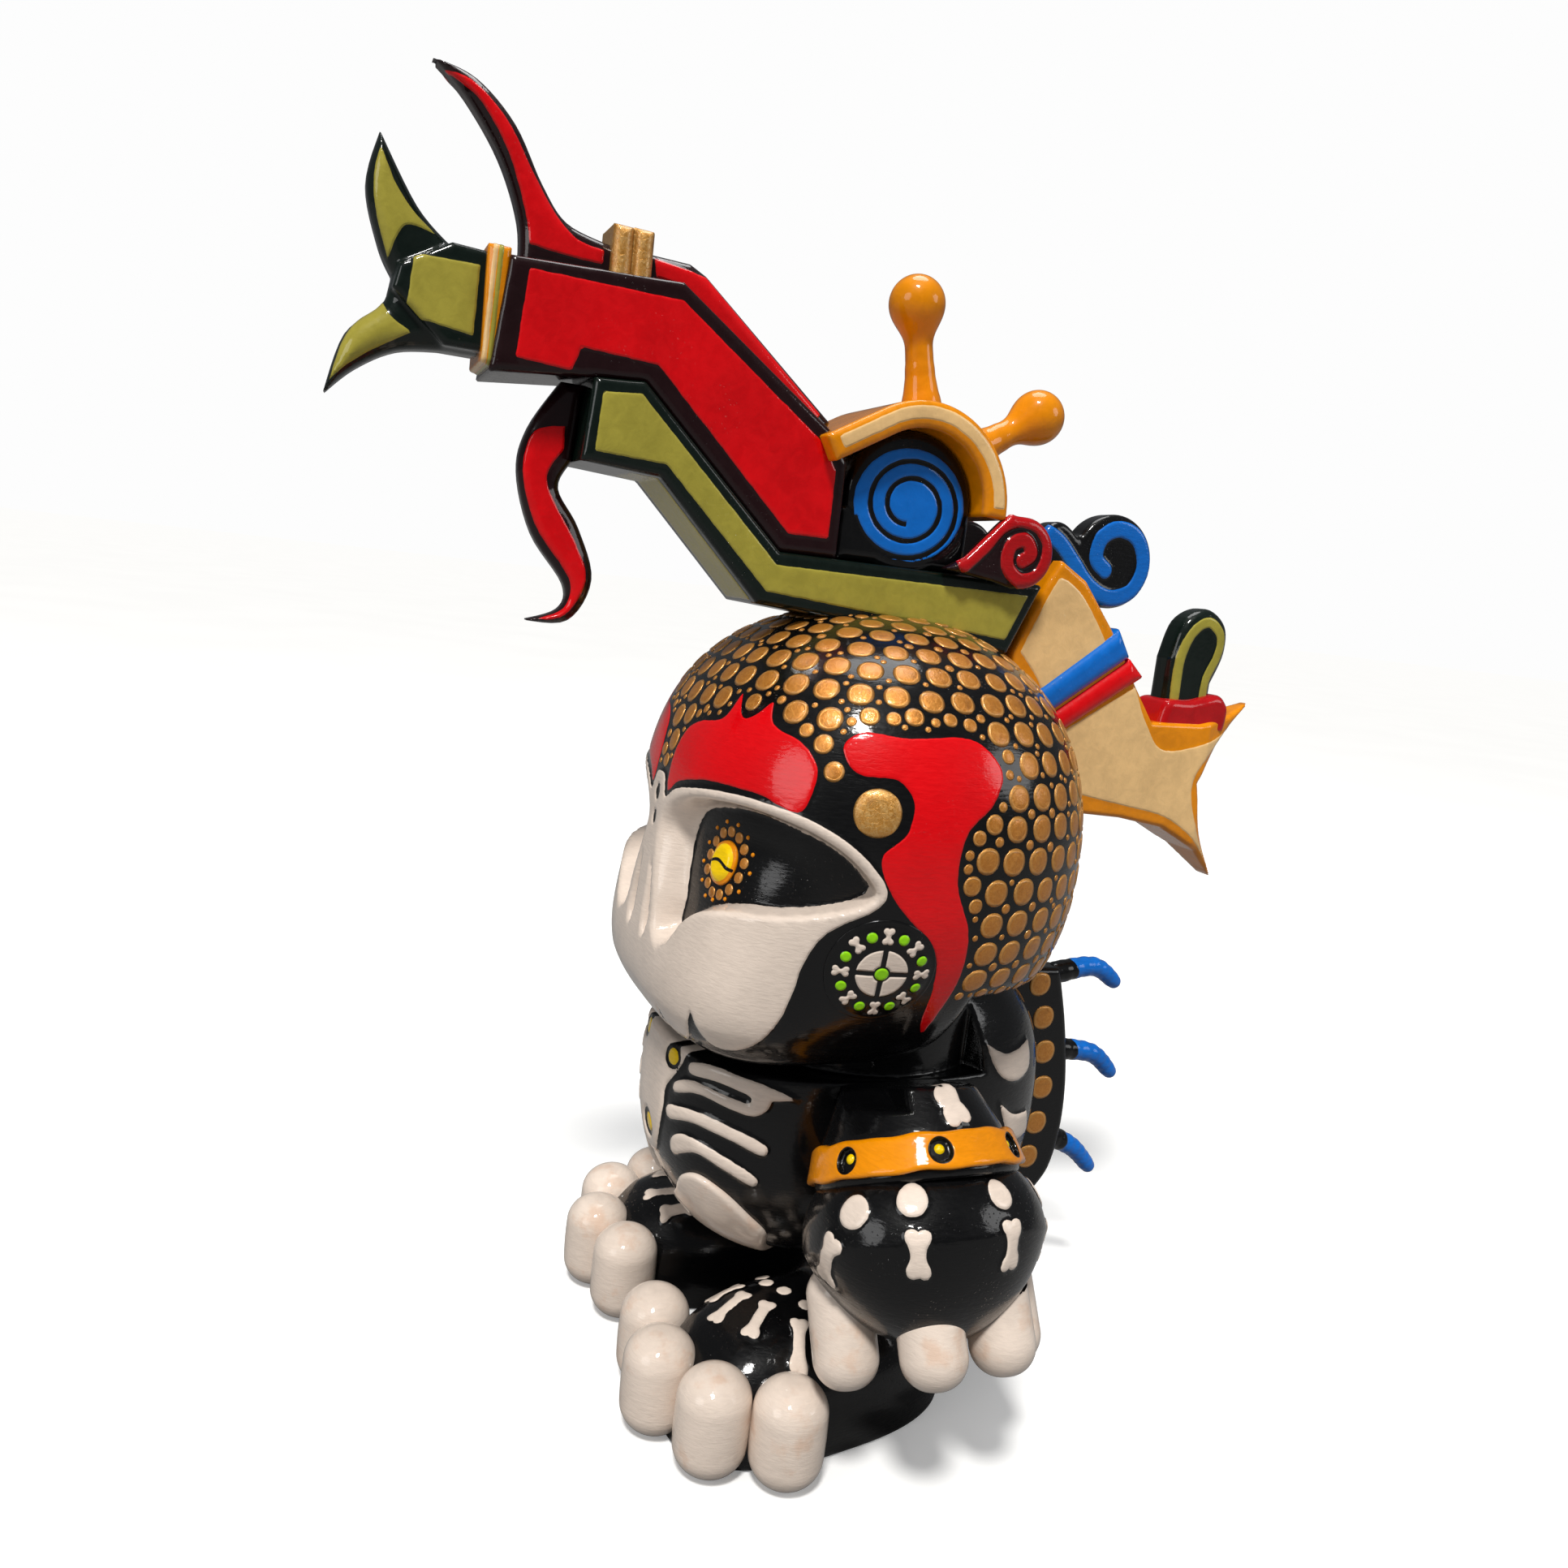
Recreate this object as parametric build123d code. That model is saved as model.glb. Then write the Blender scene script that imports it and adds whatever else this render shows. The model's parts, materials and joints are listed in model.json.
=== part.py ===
from build123d import *
from math import cos, radians, sin
import os

# Alebrije figure: a skull-headed painted wooden figure under a serpent headdress.
# Millimetres. It faces -Y, its left hand is on +X, +Z is up, and the origin is the
# centre of its footprint on the surface it stands on.

# ---- head -------------------------------------------------------------------
CRANIUM_CENTRE = (0, 6, 176.5)
CRANIUM_HALF = (74, 66, 68.5)
CRANIUM_POWER = 2.3
CRANIUM_FLOOR_Z = 138.0          # flat underside of the cranium behind the jaw
JAW_CENTRE = (0, -16, 150)
JAW_HALF = (64, 49, 41)
JAW_POWER = 2.6
EYE_RECESS_DEPTH = 8.0
EYE_RIM = [(15, 147), (40, 157.5), (69, 168), (62, 183), (40, 188.5), (24, 173)]   # (x, z)
PUPIL_CENTRE = (40, 172)                                                          # (x, z)
PUPIL_R = 7.0
PUPIL_RISE = 2.0
EAR_CENTRE = (-14, 149.5)                                                         # (y, z)
EAR_R = 16.0
EAR_RISE = 1.2
TEMPLE_CENTRE = (-21.5, 194)                                                      # (y, z)
TEMPLE_R = 7.0
TEMPLE_RISE = 0.8

# ---- neck, where the head turns on the body ----------------------------------
NECK_Y = 12.0                    # the vertical turning axis stands at x = 0, y = NECK_Y
HEAD_TURN_DEG = 20.0             # turn to either side
TURN_GAP = 0.3                   # air between the turning head and the body
NECK_HUMP_R = 44.0
NECK_HUMP_TOP_Z = 134.0
DOWEL_R = 8.0
DOWEL_RUNNING_CLEARANCE = 0.06
DOWEL_FOOT_Z = 92.0
DOWEL_TOP_Z = 166.0
JAW_REAR_DEG = 8.0               # the jaw ends this far behind the sideways direction
BACK_STOP_DEG = JAW_REAR_DEG + HEAD_TURN_DEG + 4.0
# what the turning jaw passes over: (distance from the axis, height)
JAW_SWEEP = [(0, 108.7), (66, 108.7), (76, 113), (84, 121.5), (92, 137.7)]
# the same beside the arms, where only the jaw's slimmer flank passes
FLANK_SWEEP = [(0, 108.7), (50, 108.7), (55, 110.6), (62, 113.6), (68.5, 116.6), (73.5, 119.6), (78, 124),
               (82, 129), (85.5, 137.7)]
FLANK_FROM_DEG = -12.0           # where the flank's share starts, in degrees behind the sideways direction

# ---- body --------------------------------------------------------------------
TORSO_CENTRE = (0, 13, 91)
TORSO_HALF = (48, 66, 54)
TORSO_POWER = 2.5
PELVIS_BAND_T = 2.6
PELVIS_BAND_HALF_W = 36.0
PELVIS_OUTLINE = [(-60, 74), (-30, 74), (-10, 44), (-16, 30), (-42, 46)]
PAW_CENTRE = (37, -7, 3)
PAW_HALF = (28, 47, 33)
PAW_TOE_IN_DEG = 9.0             # the heel lies nearer the mid plane than the toes
PAW_POWER = 2.6
LEG_XY = (28, 13)
LEG_R = 17.5
LEG_TOP_Z = 70.0
TOE_R = 10.6
TOE_H = 31.0
TOES_XY = [(18.2, -50.5), (39.4, -55), (60, -45), (69.8, -25.5)]

# ---- arms, in a frame whose z runs down the arm, x to the back and y outwards -----
SHOULDER = (50, 7, 115)
ARM_TILT_DEG = 31.0
ARM_PROFILE = [(0, 15), (10, 21), (20.5, 26), (31.5, 29.2)]    # distance down the arm, radius
BRACELET_START = 20.5
BRACELET_END = 31.5
BRACELET_T = 2.8
STUD_COUNT = 7
STUD_START_DEG = 104.0
STUD_HOLE_R = 3.1
STUD_R = 1.7
HAND_MID = 48.5
HAND_HALF = (34.5, 30, 29)
HAND_POWER = 2.2
CLAW_R = 9.3
CLAW_LENGTH = 30.0
CLAW_PLACES = [(-19.5, -18, 71), (-5.5, 4, 72), (18.5, 0, 72), (32, -16, 71)]
SHOULDER_PEG = (7, 97)           # (y, z)
SHOULDER_PEG_R = 4.0
SHOULDER_PEG_X = (34, 62)

# ---- back ----------------------------------------------------------------------
PLATE_HALF_T = 5.0
PLATE_OUTLINE = [(60, 128), (93, 128), (99, 106), (103, 84), (104, 66), (101, 51), (95, 41), (60, 41)]
SPIKE_R = 3.7
SPIKES = [((94, 124.4), (110, 126.4), (120, 120.6)),
          ((99, 95.5), (115, 93), (124.5, 85.5)),
          ((101, 62), (113, 56), (121.5, 48))]

# ---- headdress, outlines in the (y, z) plane --------------------------------------
LOWER_JAW_HALF_T = 15.0
LOWER_JAW = [(-94.5, 276.5), (-92.5, 298.5), (-78.5, 299.5), (-34.5, 259), (56, 258.7),
             (46, 236), (-40, 243.5), (-72, 275)]
UPPER_JAW_HALF_T = 13.5
UPPER_JAW = [(-120, 295.5), (-116.5, 325), (-70, 327), (-22, 295), (-16, 287), (-16, 259),
             (-34.5, 259), (-78.5, 299.5), (-92.5, 298.5)]
CREST_HALF_T = 6.0
CREST_EDGES = [[(-21, 292), (-70, 325), (-112.6, 324)],
               [(-112.6, 324), (-113.5, 336), (-119.5, 350.5), (-129, 363), (-137.5, 370)],
               [(-137.5, 370), (-126.5, 367.6), (-116, 359), (-108, 346), (-101, 338), (-90, 335)],
               [(-90, 335), (-66, 334.4), (-61, 332), (-18.7, 298.6), (-21, 292)]]
RING_STARTS = [-89.2, -83.4]     # two gilt rings side by side round the crest
RING_W = 5.6
RING_HALF_T = 9.0
TONGUE_HALF_T = 9.0
TONGUE_EDGES = [[(-119, 300), (-119, 325), (-130, 326)],
                [(-130, 326), (-139, 334), (-149, 350)],
                [(-149, 350), (-151.7, 337), (-148, 323), (-144.3, 316)],
                [(-144.3, 316), (-146.5, 308.5), (-155, 300), (-159.5, 284.5)],
                [(-159.5, 284.5), (-152, 292), (-142, 298), (-130, 300)],
                [(-130, 300), (-119, 300)]]
TONGUE_COLLAR_HALF_T = 12.0
TONGUE_COLLAR = [(-122, 298), (-122, 327), (-116, 327), (-116, 296)]
FANG_HALF_T = 5.5
FANG_EDGES = [[(-99, 297.5), (-107, 284), (-109, 272), (-104, 256), (-94, 243), (-95, 236), (-105, 232)],
              [(-105, 232), (-92, 233), (-86, 245), (-91, 259), (-97.5, 269), (-94.5, 276.5)],
              [(-94.5, 276.5), (-92.5, 297.5), (-99, 297.5)]]
EYE_CENTRE = (6.7, 278.0)
ARCH_OUTER_R = 29.5
ARCH_INNER_R = 21.5
ARCH_START_DEG = -3.0
ARCH_SWEEP_DEG = 123.0
ARCH_TAIL = 21.0
ARCH_HALF_T = 20.0
EYE_BLOCK_HALF_T = 12.0
KNOB_R = 8.7
KNOBS = [((13, 305), (6.6, 337.6)), ((31, 297), (54.3, 311.5))]      # (stalk foot, ball centre)
STALK_R = 5.6
CURL_T = 5.5
CURL_CENTRE = (43.7, 267.5)
CURL_R = 11.0
CURL_TAIL = [(16.7, 260), (29, 271), (42, 278), (42, 257)]
BLUE_CURL_CENTRE = (89, 269.6)
BLUE_CURL_R = 15.5
BLUE_CURL_HALF_T = 5.5
BLUE_CURL_STEM = [(56, 262), (60, 276), (67, 281), (77, 276), (85, 262), (78, 256), (66, 262)]
PLUME_HALF_T = 10.5
PLUME_EDGES = [[(50, 236), (60, 259), (65, 267.7), (75.6, 262), (91.5, 244), (101.6, 229.5), (111, 217.5),
                (132, 218), (147, 221.5), (160.3, 227)],
               [(160.3, 227), (144, 213), (135, 197)],
               [(135, 197), (141, 178.5), (154, 161)],
               [(154, 161), (140, 172), (122, 180.6), (103.5, 183.5), (60, 186), (50, 236)]]
BAND_PROUD = 2.2
BLUE_BAND = [(60, 224), (64, 215), (97, 238.7), (91, 248)]
RED_BAND = [(64, 215), (68, 208), (104, 232.5), (97, 238.7)]
HOOK_HALF_T = 5.5
HOOK_EDGES = [[(119, 217), (119, 240)],
              [(119, 240), (123, 253), (132.4, 258), (141, 253), (142.5, 243), (138.6, 232)],
              [(138.6, 232), (138.6, 217), (119, 217)]]
HOOK_COLLAR_HALF_T = 9.0
HOOK_COLLAR = [(115, 214), (117, 224.5), (140, 229), (145, 224), (144, 214)]
PEG_R = 3.0
PEG_PLACES = [-15, 28]           # y of the two pegs that hold the headdress
PEG_Z = (220, 248)


# ---- shared shapes ----------------------------------------------------------------
def rounded_mass(centre, half, exponent):
    """Closed rounded block, as full at its corners as a superellipsoid of this exponent."""
    corner_r = min(half) * (1 - 2 ** (-1 / exponent)) / (1 - 2 ** -0.5)
    block = Box(*[2 * h for h in half])
    return Pos(*centre) * fillet(block.edges(), corner_r)


def slab(outline, half_t):
    """Closed polygon in the (y, z) plane, as thick on either side of x = 0."""
    face = make_face(Plane.YZ * Polyline(*outline, close=True))
    return extrude(face, half_t, both=True)


def curved_slab(edges, half_t, straight):
    """Slab whose rim is a chain: the numbered edges are straight runs, the others arcs or smooth curves."""
    rim = []
    for i, edge in enumerate(edges):
        curve = Polyline if i in straight else ThreePointArc if len(edge) == 3 else Spline
        rim.append(curve(*edge))
    face = make_face(Plane.YZ * Curve(rim))
    return extrude(face, half_t, both=True)


def bar_along_x(y, z, radius, x_low, x_high):
    """Round bar along x."""
    face = Plane.YZ.offset(x_low) * Pos(y, z) * Circle(radius)
    return extrude(face, x_high - x_low)


def upright(x, y, radius, z_low, z_high):
    """Round bar along z."""
    return extrude(Plane.XY.offset(z_low) * Pos(x, y) * Circle(radius), z_high - z_low)


def mirrored(shape):
    """The same piece on the figure's other side."""
    return mirror(shape, about=Plane.YZ)


def biggest(shape):
    """The main solid of a cut that left crumbs."""
    return max(shape.solids(), key=lambda solid: solid.volume)


def rear_sector(start_deg, radius, z_low, z_high):
    """Wedge behind the neck axis, from start_deg behind one side to the same behind the other."""
    a = radians(start_deg)
    left = (radius * cos(a), NECK_Y + radius * sin(a))
    right = (-radius * cos(a), NECK_Y + radius * sin(a))
    rim = [(0, NECK_Y), left, (left[0], left[1] + radius), (right[0], right[1] + radius), right]
    face = make_face(Plane.XY.offset(z_low) * Polyline(*rim, close=True))
    return extrude(face, z_high - z_low)


# ---- head ---------------------------------------------------------------------------
def head_masses(rise):
    """Cranium and jaw masses, grown by the same rise on every side."""
    cranium = rounded_mass(CRANIUM_CENTRE, [h + rise for h in CRANIUM_HALF], CRANIUM_POWER)
    jaw = rounded_mass(JAW_CENTRE, [h + rise for h in JAW_HALF], JAW_POWER)
    return cranium, jaw


def eye_recesses():
    """Both triangular sockets, cut to a constant depth below the face."""
    face = make_face(Plane.XZ * Spline(*EYE_RIM, periodic=True))
    cranium, jaw = head_masses(-EYE_RECESS_DEPTH)
    recess = extrude(face, 80) - cranium - jaw
    return recess + mirrored(recess)


def whole_head():
    """Cranium with a flat underside, and the jaw that hangs in front of the neck."""
    cranium, jaw = head_masses(0)
    cranium -= Pos(0, 0, CRANIUM_FLOOR_Z - 100) * Box(400, 400, 200)
    jaw -= rear_sector(JAW_REAR_DEG, 200, 0, CRANIUM_FLOOR_Z)
    return cranium + jaw


def skull(head, pegs):
    """The head with its neck recess, dowel bore, peg holes and eye sockets."""
    solid = head - upright(0, NECK_Y, NECK_HUMP_R + TURN_GAP, 0, NECK_HUMP_TOP_Z + TURN_GAP)
    solid -= upright(0, NECK_Y, DOWEL_R + DOWEL_RUNNING_CLEARANCE, 0, DOWEL_TOP_Z + 1)
    return biggest(solid - eye_recesses() - pegs)


def laid_on(post, rise, bone):
    """Thin piece with the post's outline that stands this far proud of the skull."""
    cranium, jaw = head_masses(rise)
    return biggest((post & (cranium + jaw)) - bone)


def face_pieces(bone):
    """Pupils, ear caps and temple discs, each laid on the skull's surface."""
    pupil = extrude(Plane.XZ * Pos(*PUPIL_CENTRE) * Circle(PUPIL_R), 80)
    eye = laid_on(pupil, PUPIL_RISE - EYE_RECESS_DEPTH, bone)
    ear = laid_on(bar_along_x(*EAR_CENTRE, EAR_R, 40, 80), EAR_RISE, bone)
    temple = laid_on(bar_along_x(*TEMPLE_CENTRE, TEMPLE_R, 50, 80), TEMPLE_RISE, bone)
    return {"left_eye": eye, "right_eye": mirrored(eye),
            "left_ear_disc": ear, "right_ear_disc": mirrored(ear),
            "temple_discs": Compound(children=[temple, mirrored(temple)])}


# ---- body -----------------------------------------------------------------------------
def space_above(profile):
    """Everything above a profile that is turned about the neck axis."""
    rim = [*profile, (200, 137.7), (200, 300), (0, 300)]
    face = make_face(Plane.XZ * Polyline(*rim, close=True))
    return Pos(0, NECK_Y, 0) * revolve(face, Axis.Z, 360)


def arm_sweep():
    """The space that the jaw needs beside and in front of the arms."""
    beside = rear_sector(FLANK_FROM_DEG, 200, 0, 300)
    return (space_above(JAW_SWEEP) - beside) + space_above(FLANK_SWEEP)


def jaw_sweep():
    """The space above the shoulders that the jaw needs as the head turns."""
    space = space_above(JAW_SWEEP) - upright(0, NECK_Y, NECK_HUMP_R, 0, NECK_HUMP_TOP_Z)
    return space - rear_sector(BACK_STOP_DEG, 200, 0, CRANIUM_FLOOR_Z - TURN_GAP)


def torso_block():
    return rounded_mass(TORSO_CENTRE, TORSO_HALF, TORSO_POWER)


def pelvis_band():
    """Raised hip bone wrapped round the belly's lower front."""
    shell = rounded_mass(TORSO_CENTRE, [h + PELVIS_BAND_T for h in TORSO_HALF], TORSO_POWER)
    return biggest((shell - torso_block()) & slab(PELVIS_OUTLINE, PELVIS_BAND_HALF_W))


def toe(x, y):
    """Upright rounded toe that stands on the floor."""
    block = Pos(x, y, TOE_H / 2) * Cylinder(TOE_R, TOE_H)
    return fillet(block.edges().filter_by(GeomType.CIRCLE), TOE_R - 1)


def foot():
    """Domed paw with a flat sole and the short leg above it."""
    paw = Pos(*PAW_CENTRE) * Rot(0, 0, PAW_TOE_IN_DEG) * rounded_mass((0, 0, 0), PAW_HALF, PAW_POWER)
    return paw - Pos(0, 0, -50) * Box(400, 400, 100) + upright(*LEG_XY, LEG_R, 10, LEG_TOP_Z)


def arm_frame():
    """Frame at the left shoulder: z down the arm, x to the back, y outwards."""
    tilt = radians(ARM_TILT_DEG)
    return Plane(origin=SHOULDER, x_dir=(0, 1, 0), z_dir=(sin(tilt), 0, -cos(tilt))).location


def arm_solid():
    rim = [(0, 0), *[(radius, along) for along, radius in ARM_PROFILE], (0, ARM_PROFILE[-1][0])]
    return revolve(make_face(Plane.XZ * Polyline(*rim, close=True)), Axis.Z, 360)


def bracelet_solid(arm):
    """Slightly conical ring with a row of round holes."""
    r_start, r_end = ARM_PROFILE[2][1], ARM_PROFILE[3][1]
    rim = [(0, BRACELET_START), (r_start + BRACELET_T, BRACELET_START), (r_end + BRACELET_T, BRACELET_END),
           (0, BRACELET_END)]
    ring = revolve(make_face(Plane.XZ * Polyline(*rim, close=True)), Axis.Z, 360) - arm
    for spot in stud_spots():
        ring -= spot * Cylinder(STUD_HOLE_R, 60, align=(Align.CENTER, Align.CENTER, Align.MIN))
    return ring


def stud_spots():
    """Frames on the arm's axis whose z points out through each stud hole."""
    middle = (BRACELET_START + BRACELET_END) / 2
    turns = [STUD_START_DEG + 360 * i / STUD_COUNT for i in range(STUD_COUNT)]
    return [Pos(0, 0, middle) * Rot(0, 0, turn) * Rot(0, 90, 0) for turn in turns]


def studs_solid(arm, frame):
    """Studs that sit on the arm inside the bracelet's holes, where the torso leaves room."""
    reach = ARM_PROFILE[3][1] + BRACELET_T / 2
    stud = Cylinder(STUD_R, reach, align=(Align.CENTER, Align.CENTER, Align.MIN))
    pins = [(frame * (spot * stud - arm)).solid() for spot in stud_spots()]
    return Compound(children=[pin for pin in pins if pin.bounding_box().min.X > TORSO_HALF[0]])


def shoulder_peg():
    """Level peg that joins the left arm to the torso."""
    return bar_along_x(*SHOULDER_PEG, SHOULDER_PEG_R, *SHOULDER_PEG_X)


def claw(x, y, along):
    block = Pos(x, y, along) * Cylinder(CLAW_R, CLAW_LENGTH)
    return fillet(block.edges().filter_by(GeomType.CIRCLE), CLAW_R - 0.2)


def left_arm_pieces(torso):
    """Arm, hand, bracelet, studs and claws of the left side, cut to fit each other."""
    frame = arm_frame()
    arm = arm_solid()
    hand = rounded_mass((0, 0, HAND_MID), HAND_HALF, HAND_POWER)
    hand -= Cylinder(90, 2 * BRACELET_END)
    claws = [claw(*place) - hand for place in CLAW_PLACES]
    upper = frame * arm - torso - arm_sweep() - shoulder_peg()
    pieces = {"arm": biggest(upper), "hand": biggest(frame * hand - torso),
              "bracelet": biggest(frame * bracelet_solid(arm) - torso),
              "bracelet_studs": studs_solid(arm, frame)}
    for i, piece in enumerate(claws, 1):
        pieces[f"claw_{i}"] = outermost(frame * piece, Axis.Z, -1)
    return pieces


def outermost(shape, axis, sense):
    """The one solid that lies furthest along an axis."""
    ranked = shape.solids().sort_by(axis)
    return ranked[-1] if sense > 0 else ranked[0]


def spike(points):
    """Curved horn of round section with a rounded end."""
    base, bend, tip = [(0, *point) for point in points]
    path = ThreePointArc(base, bend, tip)
    section = Plane(origin=path @ 0, z_dir=path % 0) * Circle(SPIKE_R)
    return sweep(section, path=path) + Pos(*tip) * Sphere(SPIKE_R)


# ---- headdress -----------------------------------------------------------------------
def brow_arch():
    """Hood over the serpent's eyes: a ring segment with a straight tail."""
    end = radians(ARCH_START_DEG + ARCH_SWEEP_DEG)
    sweep_deg = ARCH_SWEEP_DEG
    ring = Plane.YZ * Pos(*EYE_CENTRE)
    outer = CenterArc((0, 0), ARCH_OUTER_R, ARCH_START_DEG, sweep_deg)
    inner = CenterArc((0, 0), ARCH_INNER_R, ARCH_START_DEG, sweep_deg)
    along = (-ARCH_TAIL * sin(end), ARCH_TAIL * cos(end))
    tail = Polyline(outer @ 1, (outer @ 1) + Vector(*along), (inner @ 1) + Vector(*along), inner @ 1)
    rim = Curve([outer, tail, inner, Line(inner @ 0, outer @ 0)])
    return extrude(make_face(ring * rim), ARCH_HALF_T, both=True)


def eye_block():
    y, z = EYE_CENTRE
    drum = bar_along_x(y, z, ARCH_INNER_R, -EYE_BLOCK_HALF_T, EYE_BLOCK_HALF_T)
    sill = slab([(-16, 259), (-16, z), (y + ARCH_INNER_R, z), (y + ARCH_INNER_R, 259)], EYE_BLOCK_HALF_T)
    return drum + sill


def knob(foot, ball):
    """Ball on a round stalk."""
    start, end = Vector(0, *foot), Vector(0, *ball)
    stalk = Plane(origin=start, z_dir=end - start) * Cylinder(
        STALK_R, (end - start).length, align=(Align.CENTER, Align.CENTER, Align.MIN))
    return stalk + Pos(*end) * Sphere(KNOB_R)


def red_curl():
    """Flat spiral on the lower jaw's left flank."""
    y, z = CURL_CENTRE
    shape = bar_along_x(y, z, CURL_R, LOWER_JAW_HALF_T, LOWER_JAW_HALF_T + CURL_T)
    tail = Pos(LOWER_JAW_HALF_T + CURL_T / 2, 0, 0) * slab(CURL_TAIL, CURL_T / 2)
    return shape + tail


def blue_curl():
    y, z = BLUE_CURL_CENTRE
    disc = bar_along_x(y, z, BLUE_CURL_R, -BLUE_CURL_HALF_T, BLUE_CURL_HALF_T)
    return disc + slab(BLUE_CURL_STEM, BLUE_CURL_HALF_T)


def headdress_pieces(head, pegs):
    """The serpent, each piece cut to sit against the ones under it."""
    arch = brow_arch()
    lower_jaw = slab(LOWER_JAW, LOWER_JAW_HALF_T) - head - pegs
    upper_jaw = slab(UPPER_JAW, UPPER_JAW_HALF_T) - slab(LOWER_JAW, LOWER_JAW_HALF_T) - arch
    block = eye_block() - arch - upper_jaw - slab(LOWER_JAW, LOWER_JAW_HALF_T)
    crest = curved_slab(CREST_EDGES, CREST_HALF_T, {0, 3}) - upper_jaw - arch
    tongue = curved_slab(TONGUE_EDGES, TONGUE_HALF_T, {0, 5}) - upper_jaw
    collar = slab(TONGUE_COLLAR, TONGUE_COLLAR_HALF_T) - tongue - upper_jaw
    fang = curved_slab(FANG_EDGES, FANG_HALF_T, {2}) - upper_jaw - slab(LOWER_JAW, LOWER_JAW_HALF_T)
    plume = curved_slab(PLUME_EDGES, PLUME_HALF_T, {0, 3}) - head - slab(LOWER_JAW, LOWER_JAW_HALF_T)
    hook = curved_slab(HOOK_EDGES, HOOK_HALF_T, {0, 2}) - plume
    rings = [slab([(y, 320), (y, 340), (y + RING_W, 340), (y + RING_W, 320)], RING_HALF_T)
             - crest - upper_jaw for y in RING_STARTS]
    curl = red_curl() - arch
    pieces = {
        "lower_jaw": biggest(lower_jaw), "upper_jaw": biggest(upper_jaw), "eye_block": biggest(block),
        "nose_crest": biggest(crest), "crest_rings": Compound(children=[biggest(ring) for ring in rings]),
        "tongue": biggest(tongue), "tongue_collar": collar, "fang": biggest(fang), "brow_arch": arch,
        "left_red_curl": biggest(curl), "right_red_curl": mirrored(biggest(curl)),
        "blue_curl": biggest(blue_curl() - plume - lower_jaw), "plume": biggest(plume),
        "blue_band": biggest(slab(BLUE_BAND, PLUME_HALF_T + BAND_PROUD) - plume - head),
        "red_band": biggest(slab(RED_BAND, PLUME_HALF_T + BAND_PROUD) - plume - head),
        "plume_hook": biggest(hook),
        "hook_collar": biggest(slab(HOOK_COLLAR, HOOK_COLLAR_HALF_T) - plume - hook),
        "headdress_pegs": pegs,
    }
    for i, (foot_place, ball) in enumerate(KNOBS, 1):
        pieces[f"knob_{i}"] = outermost(knob(foot_place, ball) - arch - block, Axis.Z, 1)
    return pieces


# ---- whole figure --------------------------------------------------------------------
def body_pieces():
    dowel = upright(0, NECK_Y, DOWEL_R, DOWEL_FOOT_Z, DOWEL_TOP_Z)
    pegs = Compound(children=[shoulder_peg(), mirrored(shoulder_peg())])
    block = torso_block()
    torso = block - jaw_sweep() - Pos(0, 0, CRANIUM_FLOOR_Z - TURN_GAP + 100) * Box(400, 400, 200)
    torso = biggest(torso - dowel - pegs)
    pieces = {"torso": torso, "neck_dowel": dowel, "shoulder_pegs": pegs, "pelvis_band": pelvis_band()}
    toes = [toe(x, y) for x, y in TOES_XY]
    paw = foot() - block
    for piece in toes:
        paw -= piece
    left = {"foot": biggest(paw)}
    for i, piece in enumerate(toes, 1):
        left[f"toe_{i}"] = piece
    left.update(left_arm_pieces(block))
    for name, piece in left.items():
        pieces["left_" + name] = piece
        pieces["right_" + name] = mirrored(piece)
    plate = slab(PLATE_OUTLINE, PLATE_HALF_T) - block
    pieces["dorsal_plate"] = outermost(plate, Axis.Y, 1)
    for i, points in enumerate(SPIKES, 1):
        pieces[f"back_spike_{i}"] = outermost(spike(points) - plate, Axis.Y, 1)
    return pieces


def head_pieces():
    pegs = Compound(children=[upright(0, y, PEG_R, *PEG_Z).solid() for y in PEG_PLACES])
    head = whole_head()
    bone = skull(head, pegs)
    return {"skull": bone, **face_pieces(bone), **headdress_pieces(head, pegs)}


def main():
    os.makedirs("parts", exist_ok=True)
    for name, piece in {**body_pieces(), **head_pieces()}.items():
        export_step(piece, f"parts/{name}.step")


main()
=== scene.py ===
import json
import math

import bpy
import numpy as np
from mathutils import Matrix, Vector

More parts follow.
